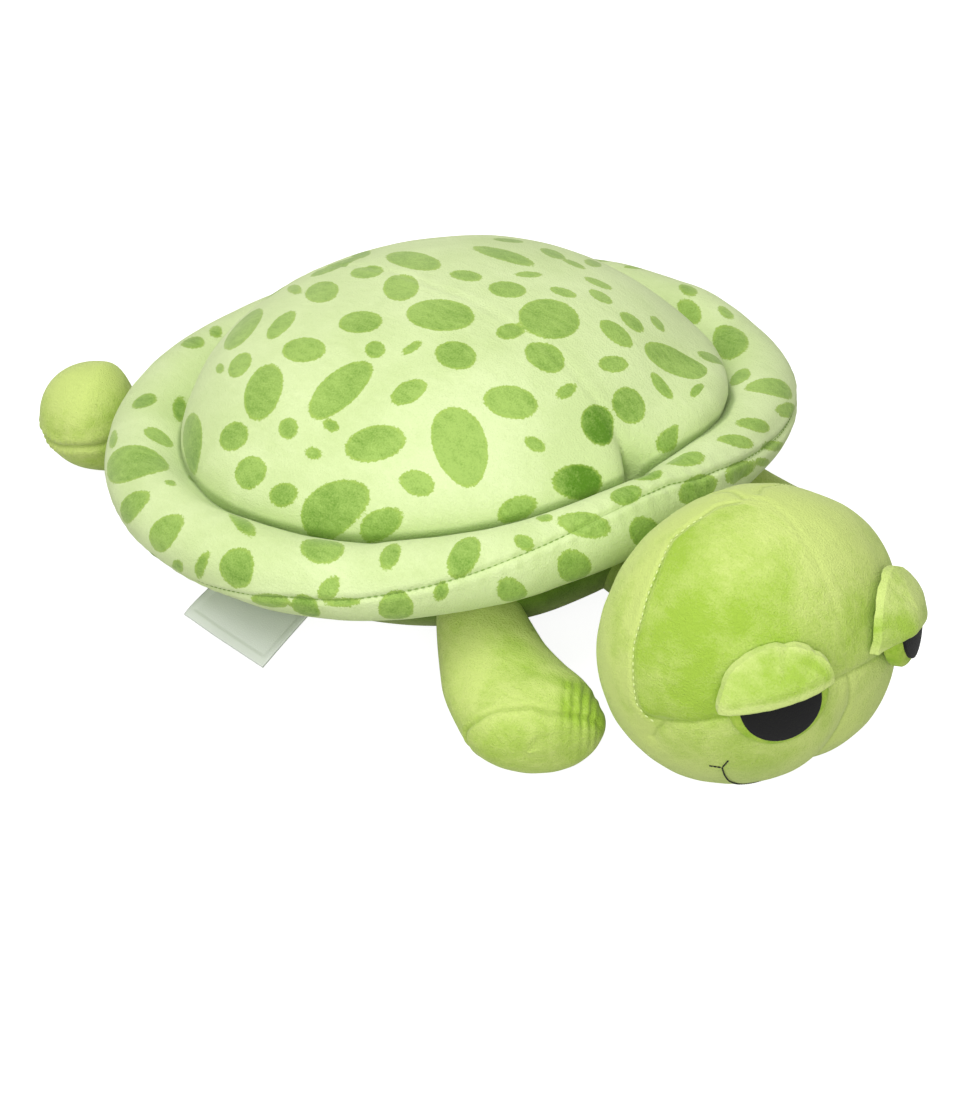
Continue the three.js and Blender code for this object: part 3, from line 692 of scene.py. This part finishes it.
head = {"half": np.array([67.0, 60.0, 69.0]), "swell": 0.05, "place": np.array([-38.7, -216.55, 8.0]),
        "turn": -10.0, "droop": 13.0, "fineness": 7, "seamDepth": 0.6, "seamWidth": 1.2, "fadingSeam": 0.4,
        "stitch": {"pitch": 3.0, "length": 1.7, "thick": 0.36}, "stitchLift": 0.05,
        "meanRadius": 64.0, "lumps": [(30, 5, 0.7), (11, 16, 0.3)],
        # swellings and hollows: height, bearing and its width, elevation and its width
        "lobe": (1.6, 26, 17, -8, 15), "chin": (-2.2, 5, 40, -42, 16), "temple": (2.4, 85, 30, 28, 24),
        # height and width of the hollow along a seam
        "drawnIn": {"nose": (-2.4, 7), "brow": (-0.9, 5), "dart": (-1.7, 5)},
        # seams as azimuth and elevation from the head's middle
        "crown": [(180, -30), (180, 20), (180, 56), (-175, 66)],
        "fadingCrown": [(-175, 66), (170, 74), (91, 87), (8, 80), (4, 70), (1, 55), (1, 40), (2, 23)],
        "cheek": [(-168, 67), (-157, 60), (-146, 56), (-133, 45), (-122, 41), (-115, 37), (-108, 31), (-102, 25),
                  (-97, 16), (-93, 11), (-88, 4), (-84, -2), (-79, -4), (-73, -4)],
        "dart": [(-71, -4), (-73, -9), (-74, -15)],
        "brow": [(-73, -4), (-66, 1), (-60, 4), (-50, 10), (-25, 19), (-6, 23), (2, 23)],
        "nose": [(2, 23), (3, 15), (4, 9), (3, 0), (1, -14), (0, -40)],
        # edges of the panels, whose pile lies in different directions
        "cheekEdge": [(-90, 74), (-14, 74), (-4, 80), (4, 88), (11, 93), (25, 102), (41, 122), (57, 146), (63, 160),
                      (90, 180)],
        "browEdge": [(0, 23), (6, 22.7), (25, 19), (50, 9.5), (60, 4), (73, -4), (80, -5)],
        # how much lighter or darker each part is painted: the side and muzzle panels for their pile's direction, the
        # near crown darker and the far crown lighter partly for the pile and partly as painted shade and light, and the
        # top lighter as painted light
        "pileToneAndPaintedLight": {"side": 0.65, "muzzle": 0.45, "crown_right": -0.5, "crown_left": 0.0, "top": 0.8, "far": 0.5}}
headTurn = turned("Z", head["turn"]) @ turned("X", head["droop"])


def headPoints(unit):
    # an egg: the cheeks are fuller than the crown
    swell = 1 - head["swell"] * unit[:, 2]
    return unit * head["half"] * np.column_stack([swell, swell, np.ones(len(unit))])


def headPlaced(points):
    # from the head's own frame to its place beside the rim
    return points @ headTurn.T + head["place"]


def aimed(azimuth, elevation):
    aside, above = math.radians(azimuth), math.radians(elevation)
    return np.array([math.sin(aside) * math.cos(above), -math.cos(aside) * math.cos(above), math.sin(above)])


def headLine(table, side=1, steps=60):
    # a smooth line over the head through the given directions, mirrored for the left half
    ways = [aimed(*row) * np.array([side, 1, 1]) for row in table]
    line = []
    for first, second in zip(ways, ways[1:]):
        for step in range(steps):
            line.append(unitOf(blendOf(first, second, step / steps)))
    return headPoints(np.array(line))


def headToneAndPaintedLight(unit):
    azimuth, height = bearingOf(unit), elevationOf(unit)
    # the panels' pile tones, with painted light on the top and far crown and painted shade on the near crown
    amounts = head["pileToneAndPaintedLight"]
    side = smoothStep(-1.2, 1.2, np.abs(azimuth) - tableAt(head["cheekEdge"], height))
    muzzle = (1 - side) * smoothStep(-1.2, 1.2, tableAt(head["browEdge"], np.abs(azimuth)) - height)
    crown = (1 - side) * (1 - muzzle)
    left = smoothStep(-3, 3, azimuth - 2) * smoothStep(35, 60, height)
    return (side * amounts["side"] + muzzle * amounts["muzzle"] + crown * left * amounts["crown_left"]
            + crown * (1 - left) * amounts["crown_right"] * smoothStep(8, -36, azimuth)
            + smoothStep(40, 70, height) * amounts["top"] + crown * smoothStep(25, 75, azimuth) * amounts["far"])


def drawnIn(points, line, name):
    high, wide = head["drawnIn"][name]
    return ridge(nearestOn(points, line, 25.0), (high, 0, wide))


def muzzleForm(points, unit):
    # the seam down the nose parts the muzzle into two lobes, and the cheeks dimple at the darts
    azimuth, height = bearingOf(unit), elevationOf(unit)
    form = swelling(np.abs(azimuth), height, head["lobe"])
    form += drawnIn(points, headLine(head["nose"]), "nose") * smoothStep(22, 0, height)
    for name in ("brow", "dart"):
        form += drawnIn(points, bothSides(name), name)
    # the chin is flatter, and the left temple is stuffed fuller
    return form + swelling(azimuth, height, head["chin"]) + swelling(azimuth, height, head["temple"])


def bothSides(name):
    return np.concatenate([headLine(head[name], side) for side in (1, -1)])


def buildHead():
    shape = ballMesh(head["fineness"])
    unit = pointsOf(shape)
    points = headPoints(unit)
    normals = normalsOf(shape, points)
    seams = np.concatenate([bothSides(name) for name in ("cheek", "dart", "brow")]
                           + [headLine(head[name]) for name in ("crown", "nose")])
    distance = nearestOn(points, seams)
    faint = nearestOn(points, headLine(head["fadingCrown"]))
    push = (sewn(distance, head["seamDepth"], head["seamWidth"], 0.2)
            + head["fadingSeam"] * sewn(faint, head["seamDepth"], head["seamWidth"], 0.2)
            + muzzleForm(points, unit) + lumpy(points, head["lumps"]))
    piece = pieceFrom("head_ball", shape, rested(headPlaced(points + normals * push[:, None])), limePlush)
    # painted shade along the seams
    paint(piece, "seamRoom", distance)
    paint(piece, "pileToneAndPaintedLight", headToneAndPaintedLight(unit))
    nodes = [f"head_{panel}_{side}" for panel in ("back", "crown", "muzzle") for side in ("right", "left")]
    stuffed(piece, "head", nodes + ["head_filling"])


def buildHeadStitches():
    stitches = []
    for side in (1, -1):
        line = headPlaced(headLine(head["cheek"][2:], side) * (1 + head["stitchLift"] / head["meanRadius"]))
        stitches += stitchesAlong(line, head["stitch"])
    piece = threadPiece("head_stitches", stitches, head["stitch"]["thick"], headThread)
    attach(piece, "head")


buildHead()
buildHeadStitches()

# Neck

neck = {"root": np.array([0.0, -116.69, -22.05]), "tip": np.array([-26.2, -168.55, -15.05]), "radius": 21.0,
        "waist": 17.0, "tubeShare": 0.75, "capLength": 60.0, "capFlat": 0.66, "lumps": [(14, 6, 0.6)],
        "fineness": 5}


def buildNeck():
    shape = ballMesh(neck["fineness"])
    unit = pointsOf(shape)
    along = neck["tip"] - neck["root"]
    length = np.linalg.norm(along)
    ahead = unitOf(along)
    across = unitOf(np.cross(ahead, [0, 0, 1]))
    up = np.cross(across, ahead)
    tube = neck["tubeShare"]
    share = np.clip((unit[:, 1] + tube) / (2 * tube), 0, 1)
    girth = neck["radius"] - (neck["radius"] - neck["waist"]) * np.sin(math.pi * share)
    flat = awayFromY(unit)
    wide = np.minimum(1, flat / neck["capFlat"]) * girth / flat
    reach = share * length + np.sign(unit[:, 1]) * np.maximum(0, np.abs(unit[:, 1]) - tube) * neck["capLength"]
    points = (neck["root"] + np.outer(reach, ahead) + np.outer(unit[:, 0] * wide, across)
              + np.outer(unit[:, 2] * wide, up))
    piece = pieceFrom("neck_tube", shape, points + lumpy(points, neck["lumps"])[:, None], limePlush)
    paint(piece, "seamRoom", farFromSeam)
    stuffed(piece, "neck", ["neck"])


buildNeck()
print("head and neck made")

# Limbs

flipper = {"right": {"reach": 64.0, "heading": 31.5, "squat": 1.0},
           "left": {"reach": 64.0, "heading": 12.5, "squat": 0.92},
           "pivot": (77.79, -46.55, 37.0), "rootRadius": 17.5, "rootHeight": 37.0, "bend": 6.5, "swellShare": -0.05,
           "toeLength": 25.0, "toeWidth": 59.0, "toeHeight": 42.5, "toePower": 2 / 2.8,
           "around": 200, "along": 190, "seamDepth": 0.9, "seamWidth": 1.0,
           "sleeveFrom": 0.18, "sleeveTo": 0.52, "lumps": [(26, 7, 0.9), (9, 17, 0.3)],
           # on the side towards the head: height, degrees round and their width, distance ahead and its width
           "ball": (2.9, 85, 45, 66, 20), "hollow": (-1.5, 85, 45, 30, 14),
           # the toe's seam: degrees round the limb from the top towards the head, and its distance ahead
           "seamAhead": [(-180, 66), (-92, 67.5), (-67, 71.5), (-47, 73), (-34, 74.2), (-11, 77.3), (14, 79.3),
                         (25, 81.7), (38, 83.4), (60, 84), (95, 82), (130, 72), (180, 66)],
           # gathers: how far across towards the head, and how deep; they lean by a share of the way ahead
           "folds": [(19.4, 0.6), (23.6, 1.2), (27.8, 1.5), (31.6, 1.3), (34.6, 0.8)], "foldWidth": 1.25,
           "foldLean": 0.28, "foldMiddle": 78, "axisDrop": 15, "pileToneAndPaintedLight": {"toe": 0.2, "gathers": -0.8, "root": 0.8}}
hindFoot = {"right": {"reach": 88.0, "heading": 152.0, "squat": 1.0},
            "left": {"reach": 82.0, "heading": 136.0, "squat": 0.84},
            "pivot": (47.28, 133.45, 11.5), "rootRadius": 11.0, "rootHeight": 11.5, "bend": 0.0, "swellShare": 0.75,
            "toeLength": 30.0, "toeWidth": 56.0, "toeHeight": 56.0, "toePower": 2 / 2.1,
            "around": 150, "along": 150, "seamDepth": 1.5, "seamWidth": 1.6,
            "sleeveFrom": 0.18, "sleeveTo": 0.52, "lumps": [(22, 9, 0.7)], "pucker": 0.35,
            # the seam's height over the leg's middle, and how far it falls at the toe and at the root
            "seamHigh": 14.5, "toeFall": 4.5, "rootFall": 6.0, "pileToneAndPaintedLight": {"all": 0.3, "top": 0.5}}
sideSign = {"right": -1, "left": 1}


def limbMesh(limb):
    # a ball with its poles along the limb
    shape = bmesh.new()
    bmesh.ops.create_uvsphere(shape, u_segments=limb["around"], v_segments=limb["along"], radius=1.0)
    bmesh.ops.transform(shape, matrix=Matrix.Rotation(math.pi / 2, 4, "X"), verts=shape.verts)
    return shape


def limbPoints(limb, side, unit):
    # from the root's pole to the toe's: a rounded root, a sleeve that swells, then the toe
    ahead = np.arccos(np.clip(unit[:, 1], -1, 1)) / math.pi
    first, last = limb["sleeveFrom"], limb["sleeveTo"]
    share = np.clip((ahead - first) / (last - first), 0, 1)
    rootPart = np.clip((first - ahead) / first, 0, 1)
    toePart = np.clip((ahead - last) / (1 - last), 0, 1)
    grown = np.clip((share - limb["swellShare"]) / (1 - limb["swellShare"]), 0, 1)
    swell = np.where(share > 0, np.sin(grown * math.pi / 2), 0)
    flat = awayFromY(unit)
    across = np.cos(rootPart * math.pi / 2) * np.cos(toePart * math.pi / 2) ** limb["toePower"]
    past = np.sin(toePart * math.pi / 2) ** limb["toePower"] * limb["toeLength"]
    before = np.sin(rootPart * math.pi / 2) * limb["rootRadius"]
    halfWide = blendOf(limb["rootRadius"], limb["toeWidth"] / 2, swell)
    halfHigh = blendOf(limb["rootRadius"], limb["toeHeight"] / 2, swell)
    reach, tall = limb[side]["reach"], limb[side]["squat"]
    toeMiddle = limb["toeHeight"] / 2 * tall - 0.5
    points = np.column_stack([unit[:, 0] / flat * across * halfWide,
                              -share * reach - past + before,
                              unit[:, 2] / flat * across * halfHigh * tall
                              + (toeMiddle - limb["rootHeight"]) * swell])
    points[:, 0] -= sideSign[side] * limb["bend"] * np.maximum(0, -points[:, 1] / reach) ** 2
    return points


def limbPlaced(limb, side, points):
    sign = sideSign[side]
    turn = turned("Z", sign * limb[side]["heading"])
    x, y, z = limb["pivot"]
    return points @ turn.T + np.array([sign * x, y, z]) - rimMiddle


def buildFlipper(side):
    shape = limbMesh(flipper)
    unit = pointsOf(shape)
    points = limbPoints(flipper, side, unit)
    normals = normalsOf(shape, points)
    ahead = -points[:, 1]
    inward = -sideSign[side]
    around = np.degrees(np.arctan2(inward * points[:, 0], points[:, 2] + flipper["axisDrop"]))
    slope = np.sqrt(np.maximum(1 - normals[:, 1] ** 2, 0.06))
    distance = np.abs(ahead - tableAt(flipper["seamAhead"], around)) * slope
    # the cloth is gathered where the toe turns towards the head
    gathered = smoothStep(60, 70, ahead) * smoothStep(92, 82, ahead) * smoothStep(-0.5, 0.1, normals[:, 2])
    across = inward * points[:, 0] + flipper["foldLean"] * (ahead - flipper["foldMiddle"])
    folds = np.zeros(len(points))
    for at, deep in flipper["folds"]:
        folds += ridge(across, (-deep, at, flipper["foldWidth"]))
    push = (sewn(distance, flipper["seamDepth"], flipper["seamWidth"], 0.35) * smoothStep(105, 60, around)
            + folds * gathered + swelling(around, ahead, flipper["ball"]) + swelling(around, ahead, flipper["hollow"])
            + lumpy(points, flipper["lumps"]))
    placed = rested(limbPlaced(flipper, side, points + normals * push[:, None]))
    piece = pieceFrom(f"front_flipper_{side}", shape, placed, limePlush)
    # painted shade along the toe's seam
    paint(piece, "seamRoom", np.minimum(distance, farFromSeam))
    # painted light at the root, which the rim shades, and painted shade in the gathers; the toe a little lighter
    amounts = flipper["pileToneAndPaintedLight"]
    paint(piece, "pileToneAndPaintedLight", amounts["toe"] * smoothStep(20, 60, ahead) + amounts["root"] * smoothStep(50, 10, ahead)
          + amounts["gathers"] * gathered * smoothStep(14, 22, across))
    nodes = [f"flipper_{part}_{side}" for part in ("sleeve", "toe", "filling")]
    stuffed(piece, f"flipper_{side}", nodes)


def buildHindFoot(side):
    shape = limbMesh(hindFoot)
    unit = pointsOf(shape)
    points = limbPoints(hindFoot, side, unit)
    normals = normalsOf(shape, points)
    ahead = -points[:, 1]
    seamLevel = (hindFoot["seamHigh"] - hindFoot["toeFall"] * smoothStep(84, 106, ahead)
                 - hindFoot["rootFall"] * smoothStep(60, 20, ahead))
    distance = np.abs(points[:, 2] - seamLevel * hindFoot[side]["squat"])
    ripple = ridge(distance, (hindFoot["pucker"], 3.5, 2.5)) * np.sin(ahead * 1.9 + 2 * lumps(points, 9, 18))
    push = (sewn(distance, hindFoot["seamDepth"], hindFoot["seamWidth"], 0.5) + ripple
            + lumpy(points, hindFoot["lumps"]))
    placed = rested(limbPlaced(hindFoot, side, points + normals * push[:, None]))
    piece = pieceFrom(f"hind_foot_{side}", shape, placed, limePlush)
    # painted shade along the seam, a little wider
    paint(piece, "seamRoom", np.minimum(distance, farFromSeam) * 0.7)
    # a lighter tone all over, and painted light on the top
    paint(piece, "pileToneAndPaintedLight", hindFoot["pileToneAndPaintedLight"]["all"] + hindFoot["pileToneAndPaintedLight"]["top"] * smoothStep(24, 40, points[:, 2]))
    nodes = [f"hind_foot_{part}_{side}" for part in ("top", "sole", "filling")]
    stuffed(piece, f"hind_foot_{side}", nodes)


for side in ("right", "left"):
    buildFlipper(side)
    buildHindFoot(side)
print("limbs made")

# Eyes

eye = {"azimuth": 33.2, "elevation": 22.6, "sag": 19.0, "halfWide": 17.3, "halfHigh": 18.6, "margin": 4.2,
       "padFoot": -1.0, "padThick": 6.0, "feltThick": 1.2, "feltSunk": 0.6, "padSquare": 5.0, "feltSquare": 3.4,
       "feltEdge": 0.97, "pressed": 0.75, "lidThick": 4.2, "lidEdgeShare": 0.92, "hem": 2.2,
       "padFineness": 5, "lidFineness": 7, "lidLumps": [(12, 12, 0.4), (3, 19, 0.12)],
       # how much lighter or darker the lid is painted: at the lower edge for its fuzzy hem, painted light on the
       # rounded top edge, painted shade in the fold, and all over
       "lidToneAndPaintedLight": {"edge": 1.0, "round": 0.6, "fold": -0.4, "all": 0.15},
       # where a lid is sewn on, how far the left one's corner is pressed in, and how far the middle of its edge
       "sewnStand": 2.0, "cornerIn": 0.62, "middleIn": 1.4,
       # each eye is sewn on a little askew, shifted across, up and out
       "right": {"shift": (2.0, -1.8, 0.4), "padHigh": 0.85, "half": 25.0, "rise": 18.5, "stand": 9.5, "edge": 3.0,
                 "aside": 0.0, "power": 5.0, "arch": 0.0, "wavy": 1.0},
       "left": {"shift": (6.0, 8.0, 3.0), "padHigh": 0.6, "half": 23.0, "rise": 29.5, "stand": 8.8, "edge": -0.4,
                "aside": 2.0, "power": 2.6, "arch": 6.5, "wavy": 0.35},
       # the lid's reach from the middle of its edge, by angle from its inner corner
       "outline": [(-180, 0.96), (-1, 1.0), (0, 1.0), (22, 1.06), (32, 1.06), (38, 1.035), (44, 1.06), (58, 1.04),
                   (68, 0.995), (77, 1.03), (93, 1.01), (113, 0.96), (151, 0.92), (180, 0.96)],
       "creases": [(38, 0.12), (68, 0.2), (104, 0.05)]}


def eyeFrame(sign):
    # a point on the head and axes: across the eye, out of the head, up the eye
    place = headPoints(aimed(eye["azimuth"] * sign, eye["elevation"])[None])[0]
    outward = unitOf(place / head["half"] ** 2)
    across = unitOf(np.cross(-outward, [0, 0, 1]))
    up = np.cross(across, -outward)
    sag = math.radians(eye["sag"] * sign)
    return (place, across * math.cos(sag) - up * math.sin(sag), outward,
            up * math.cos(sag) + across * math.sin(sag))


def onHead(sign, x, z, out):
    # x across and z up the eye, then out along the head's own curve
    place, across, outward, up = eyeFrame(sign)
    flat = place + np.outer(x, across) + np.outer(z, up)
    drop = np.empty(len(x))
    for index, point in enumerate(flat):
        # slide along the outward line until it meets the head
        square = np.sum((outward / head["half"]) ** 2)
        slope = 2 * np.sum(outward * point / head["half"] ** 2)
        rest = np.sum((point / head["half"]) ** 2) - 1
        drop[index] = (-slope + math.sqrt(max(0.0, slope * slope - 4 * square * rest))) / (2 * square)
    return flat + np.outer(drop + out, outward)


def eyeDisc(name, side, halfWide, halfHigh, inner, outer, edge, square, material):
    # a disc that lies over the head's curve, with its edge rolled over
    shape = ballMesh(eye["padFineness"])
    unit = pointsOf(shape)
    flat = awayFromY(unit)
    reach = np.minimum(1, flat / edge) / flat
    front = unit[:, 1] < 0
    middle = (inner + outer) / 2
    out = middle + (np.where(front, outer, inner) - middle) * np.sqrt(np.maximum(0, 1 - flat ** square))
    aside, lift, stand = eye[side]["shift"]
    high = eye[side]["padHigh"]
    # the lid presses the upper part flat
    up = unit[:, 2] * reach
    out = out * (1 - eye["pressed"] * smoothStep(0.15, 0.8, up)) + stand * front * smoothStep(0.6, 0.1, up)
    narrow = 1 - (eye["right"]["padHigh"] - high) * smoothStep(0.0, 0.8, up)
    points = onHead(sideSign[side], unit[:, 0] * reach * halfWide * narrow + aside,
                    up * halfHigh * np.where(up > 0, high, 1) + lift, out)
    piece = pieceFrom(name, shape, headPlaced(points), material)
    paint(piece, "seamRoom", farFromSeam)
    return piece


def buildLid(side):
    own = eye[side]
    half, rise, stand, wavy = (own[name] for name in ("half", "rise", "stand", "wavy"))
    shape = ballMesh(eye["lidFineness"])
    unit = pointsOf(shape)
    flat = awayFromY(unit)
    angle = np.degrees(np.arctan2(unit[:, 2], -sideSign[side] * unit[:, 0]))
    reach = np.minimum(1, flat / eye["lidEdgeShare"]) * (1 + wavy * (tableAt(eye["outline"], angle) - 1))
    x = unit[:, 0] / flat * reach * half
    z = unit[:, 2] / flat * reach
    z = np.where(z > 0, z * rise, z * eye["hem"])
    z += own["arch"] * (1 - (x / half) ** 2) * smoothStep(10, 0, z)
    thick = eye["lidThick"] * np.sqrt(np.maximum(0, 1 - flat ** own["power"]))
    for at, deep in eye["creases"]:
        thick *= 1 - deep * bump(angle, at, 6) * smoothStep(0.3, 0.8, flat) * (unit[:, 2] > 0)
    # it stands off at its lower edge and is sewn to the head along its curve
    if side == "right":
        middle = stand - (stand - eye["sewnStand"]) * smoothStep(0.2, 1.0, z / rise)
    else:  # its inner corner is pressed against the head too
        inward = np.hypot(np.maximum(0, -x) / half, np.maximum(0, z - 5) / rise)
        middle = (stand * (1 - eye["cornerIn"] * smoothStep(0.25, 1.0, inward))
                  - eye["middleIn"] * smoothStep(7, 0, z))
    points = onHead(sideSign[side], x + own["aside"], z + own["edge"], middle - np.sign(unit[:, 1]) * thick)
    points += lumpy(points, eye["lidLumps"])[:, None]
    piece = pieceFrom(f"lid_{side}", shape, headPlaced(points), lidPlush)
    paint(piece, "seamRoom", farFromSeam)
    # a lighter fuzzy hem, painted light on the rounded edge and painted shade in the fold
    amounts = eye["lidToneAndPaintedLight"]
    paint(piece, "pileToneAndPaintedLight", amounts["all"] + amounts["edge"] * smoothStep(3, 0.5, z)
          + amounts["round"] * wavy * smoothStep(0.75, 1, flat) + amounts["fold"] * bump(z, 8, 5))
    stuffed(piece, "head", [f"eyelid_{side}"])


for side in ("right", "left"):
    backing = eyeDisc(f"eye_pad_{side}", side, eye["halfWide"] + eye["margin"], eye["halfHigh"] + eye["margin"],
                      eye["padFoot"], eye["padThick"], 1.0, eye["padSquare"], padPlush)
    stuffed(backing, "head", [f"eye_backing_{side}"])
    felt = eyeDisc(f"eye_felt_{side}", side, eye["halfWide"], eye["halfHigh"], eye["padThick"] - eye["feltSunk"],
                   eye["padThick"] + eye["feltThick"], eye["feltEdge"], eye["feltSquare"], blackFelt)
    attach(felt, "head")
    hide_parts(f"eye_{side}")
    buildLid(side)

mouth = {"stitch": {"pitch": 1.5, "length": 1.7, "thick": 0.38}, "raised": 0.45,
         "strokes": [[(-48.6, -15.2), (-43.6, -14.4)], [(-42.4, -8.9), (-43.6, -14.4)],
                     [(-43.6, -14.4), (-41.4, -20.5), (-38.3, -27), (-32, -35), (-18, -41), (0, -43)]]}


def buildMouth():
    stitches = []
    for side in (1, -1):
        for stroke in mouth["strokes"]:
            line = headLine(stroke, side, 12)
            form = muzzleForm(line, line / head["half"])
            outward = line / head["half"] ** 2
            outward /= np.linalg.norm(outward, axis=1)[:, None]
            thread = headPlaced(line + outward * (form + mouth["raised"])[:, None])
            stitches += stitchesAlong(thread, mouth["stitch"])
    piece = threadPiece("mouth_thread", stitches, mouth["stitch"]["thick"], blackThread)
    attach(piece, "head")


buildMouth()
print("eyes and mouth made")

# Care label

label = {"width": 52.0, "length": 35.0, "thick": 0.6, "place": np.array([-130.11, 32.54, 34.0]), "fall": 26.0,
         "bow": 2.4, "curl": 2.0, "hem": 0.5, "grid": (44, 64)}


def buildLabel():
    shape = bmesh.new()
    bmesh.ops.create_grid(shape, x_segments=label["grid"][0], y_segments=label["grid"][1], size=0.5)
    bmesh.ops.solidify(shape, geom=shape.faces[:], thickness=0.01)
    flat = pointsOf(shape)
    along, across = flat[:, 0] + 0.5, flat[:, 1]
    # it bows as it hangs, a corner curls and its cut edges are folded back and sewn
    bow = (label["bow"] * np.sin(along * 2.6) * (0.7 + across)
           + label["curl"] * smoothStep(0.5, 1.0, along) * smoothStep(0.1, 0.5, across))
    fold = label["hem"] * smoothStep(0.43, 0.455, np.abs(across)) + label["hem"] * smoothStep(0.86, 0.89, along)
    height = np.where(np.abs(flat[:, 2]) > 0.001, -label["thick"], np.minimum(fold, label["hem"])) + bow
    moved = np.column_stack([-along * label["length"], across * label["width"], height])
    turn = turned("Y", -label["fall"])
    piece = pieceFrom("care_label_tab", shape, moved @ turn.T + label["place"] - rimMiddle, whiteSatin)
    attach(piece, "care_label")
    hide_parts("care_label")


buildLabel()
print("label made")

# Floor, lights and camera

studio = {"paper": (0.52, 0.52, 0.52, 1), "white": (1, 1, 1, 1), "glow": 0.9, "sky": 0.5, "floorSize": 3.0,
          "floorLevel": -0.0005}


def buildFloor():
    shape = bmesh.new()
    bmesh.ops.create_grid(shape, x_segments=1, y_segments=1, size=studio["floorSize"])
    mesh = bpy.data.meshes.new("studio floor")
    shape.to_mesh(mesh)
    shape.free()
    floor = bpy.data.objects.new("studio_floor", mesh)
    bpy.context.scene.collection.objects.link(floor)
    floor.location.z = studio["floorLevel"]
    material = newMaterial("white paper")
    tree = material.node_tree
    seen = addNode(tree, "ShaderNodeLightPath").outputs["Is Camera Ray"]
    paper = setInputs(addNode(tree, "ShaderNodeBsdfDiffuse"), Color=studio["paper"]).outputs[0]
    glow = setInputs(addNode(tree, "ShaderNodeEmission"), Color=studio["white"], Strength=studio["glow"])
    both = addNode(tree, "ShaderNodeAddShader")
    feed(both.inputs[0], paper)
    feed(both.inputs[1], glow.outputs[0])
    setInputs(addNode(tree, "ShaderNodeOutputMaterial"), Surface=mixShaders(tree, seen, paper, both.outputs[0]))
    mesh.materials.append(material)


def buildSky():
    world = bpy.data.worlds.new("studio air")
    bpy.context.scene.world = world
    world.use_nodes = True
    tree = world.node_tree
    tree.nodes.clear()
    seen = addNode(tree, "ShaderNodeLightPath").outputs["Is Camera Ray"]
    soft, white = (setInputs(addNode(tree, "ShaderNodeBackground"), Color=studio["white"], Strength=strength).outputs[0]
                   for strength in (studio["sky"], 1.0))
    setInputs(addNode(tree, "ShaderNodeOutputWorld"), Surface=mixShaders(tree, seen, soft, white))


lamps = [
    {"name": "high softbox", "place": (-0.45, 0.05, 1.3), "aim": (-0.02, 0.0, 0.06), "size": 1.0, "power": 9.0},
    {"name": "front softbox", "place": (-1.1, -0.9, 0.8), "aim": (-0.02, -0.05, 0.05), "size": 0.9, "power": 9.0}]


def buildLamps():
    for row in lamps:
        lamp = bpy.data.lights.new(row["name"], "AREA")
        lamp.size = row["size"]
        lamp.energy = row["power"]
        holder = bpy.data.objects.new(row["name"], lamp)
        holder.location = row["place"]
        aim = Vector(row["aim"]) - Vector(row["place"])
        holder.rotation_euler = aim.to_track_quat("-Z", "Y").to_euler()
        bpy.context.scene.collection.objects.link(holder)


camera = {"lens": 80.0, "sensor": 36.0, "place": (-0.73355, -0.66708, 0.7292), "azimuth": -46.7,
          "elevation": 36.44, "roll": 0.654}


def buildCamera():
    eyepiece = bpy.data.cameras.new("camera")
    eyepiece.lens = camera["lens"]
    eyepiece.sensor_width = camera["sensor"]
    eyepiece.clip_start = 0.05
    holder = bpy.data.objects.new("camera", eyepiece)
    bpy.context.scene.collection.objects.link(holder)
    turn = (Matrix.Rotation(math.radians(camera["azimuth"]), 4, "Z")
            @ Matrix.Rotation(math.radians(90 - camera["elevation"]), 4, "X")
            @ Matrix.Rotation(math.radians(camera["roll"]), 4, "Z"))
    holder.matrix_world = Matrix.Translation(camera["place"]) @ turn
    bpy.context.scene.camera = holder


buildFloor()
buildSky()
buildLamps()
buildCamera()
bpy.context.scene.view_settings.view_transform = "Standard"
print("stage made")

bpy.context.view_layer.update()
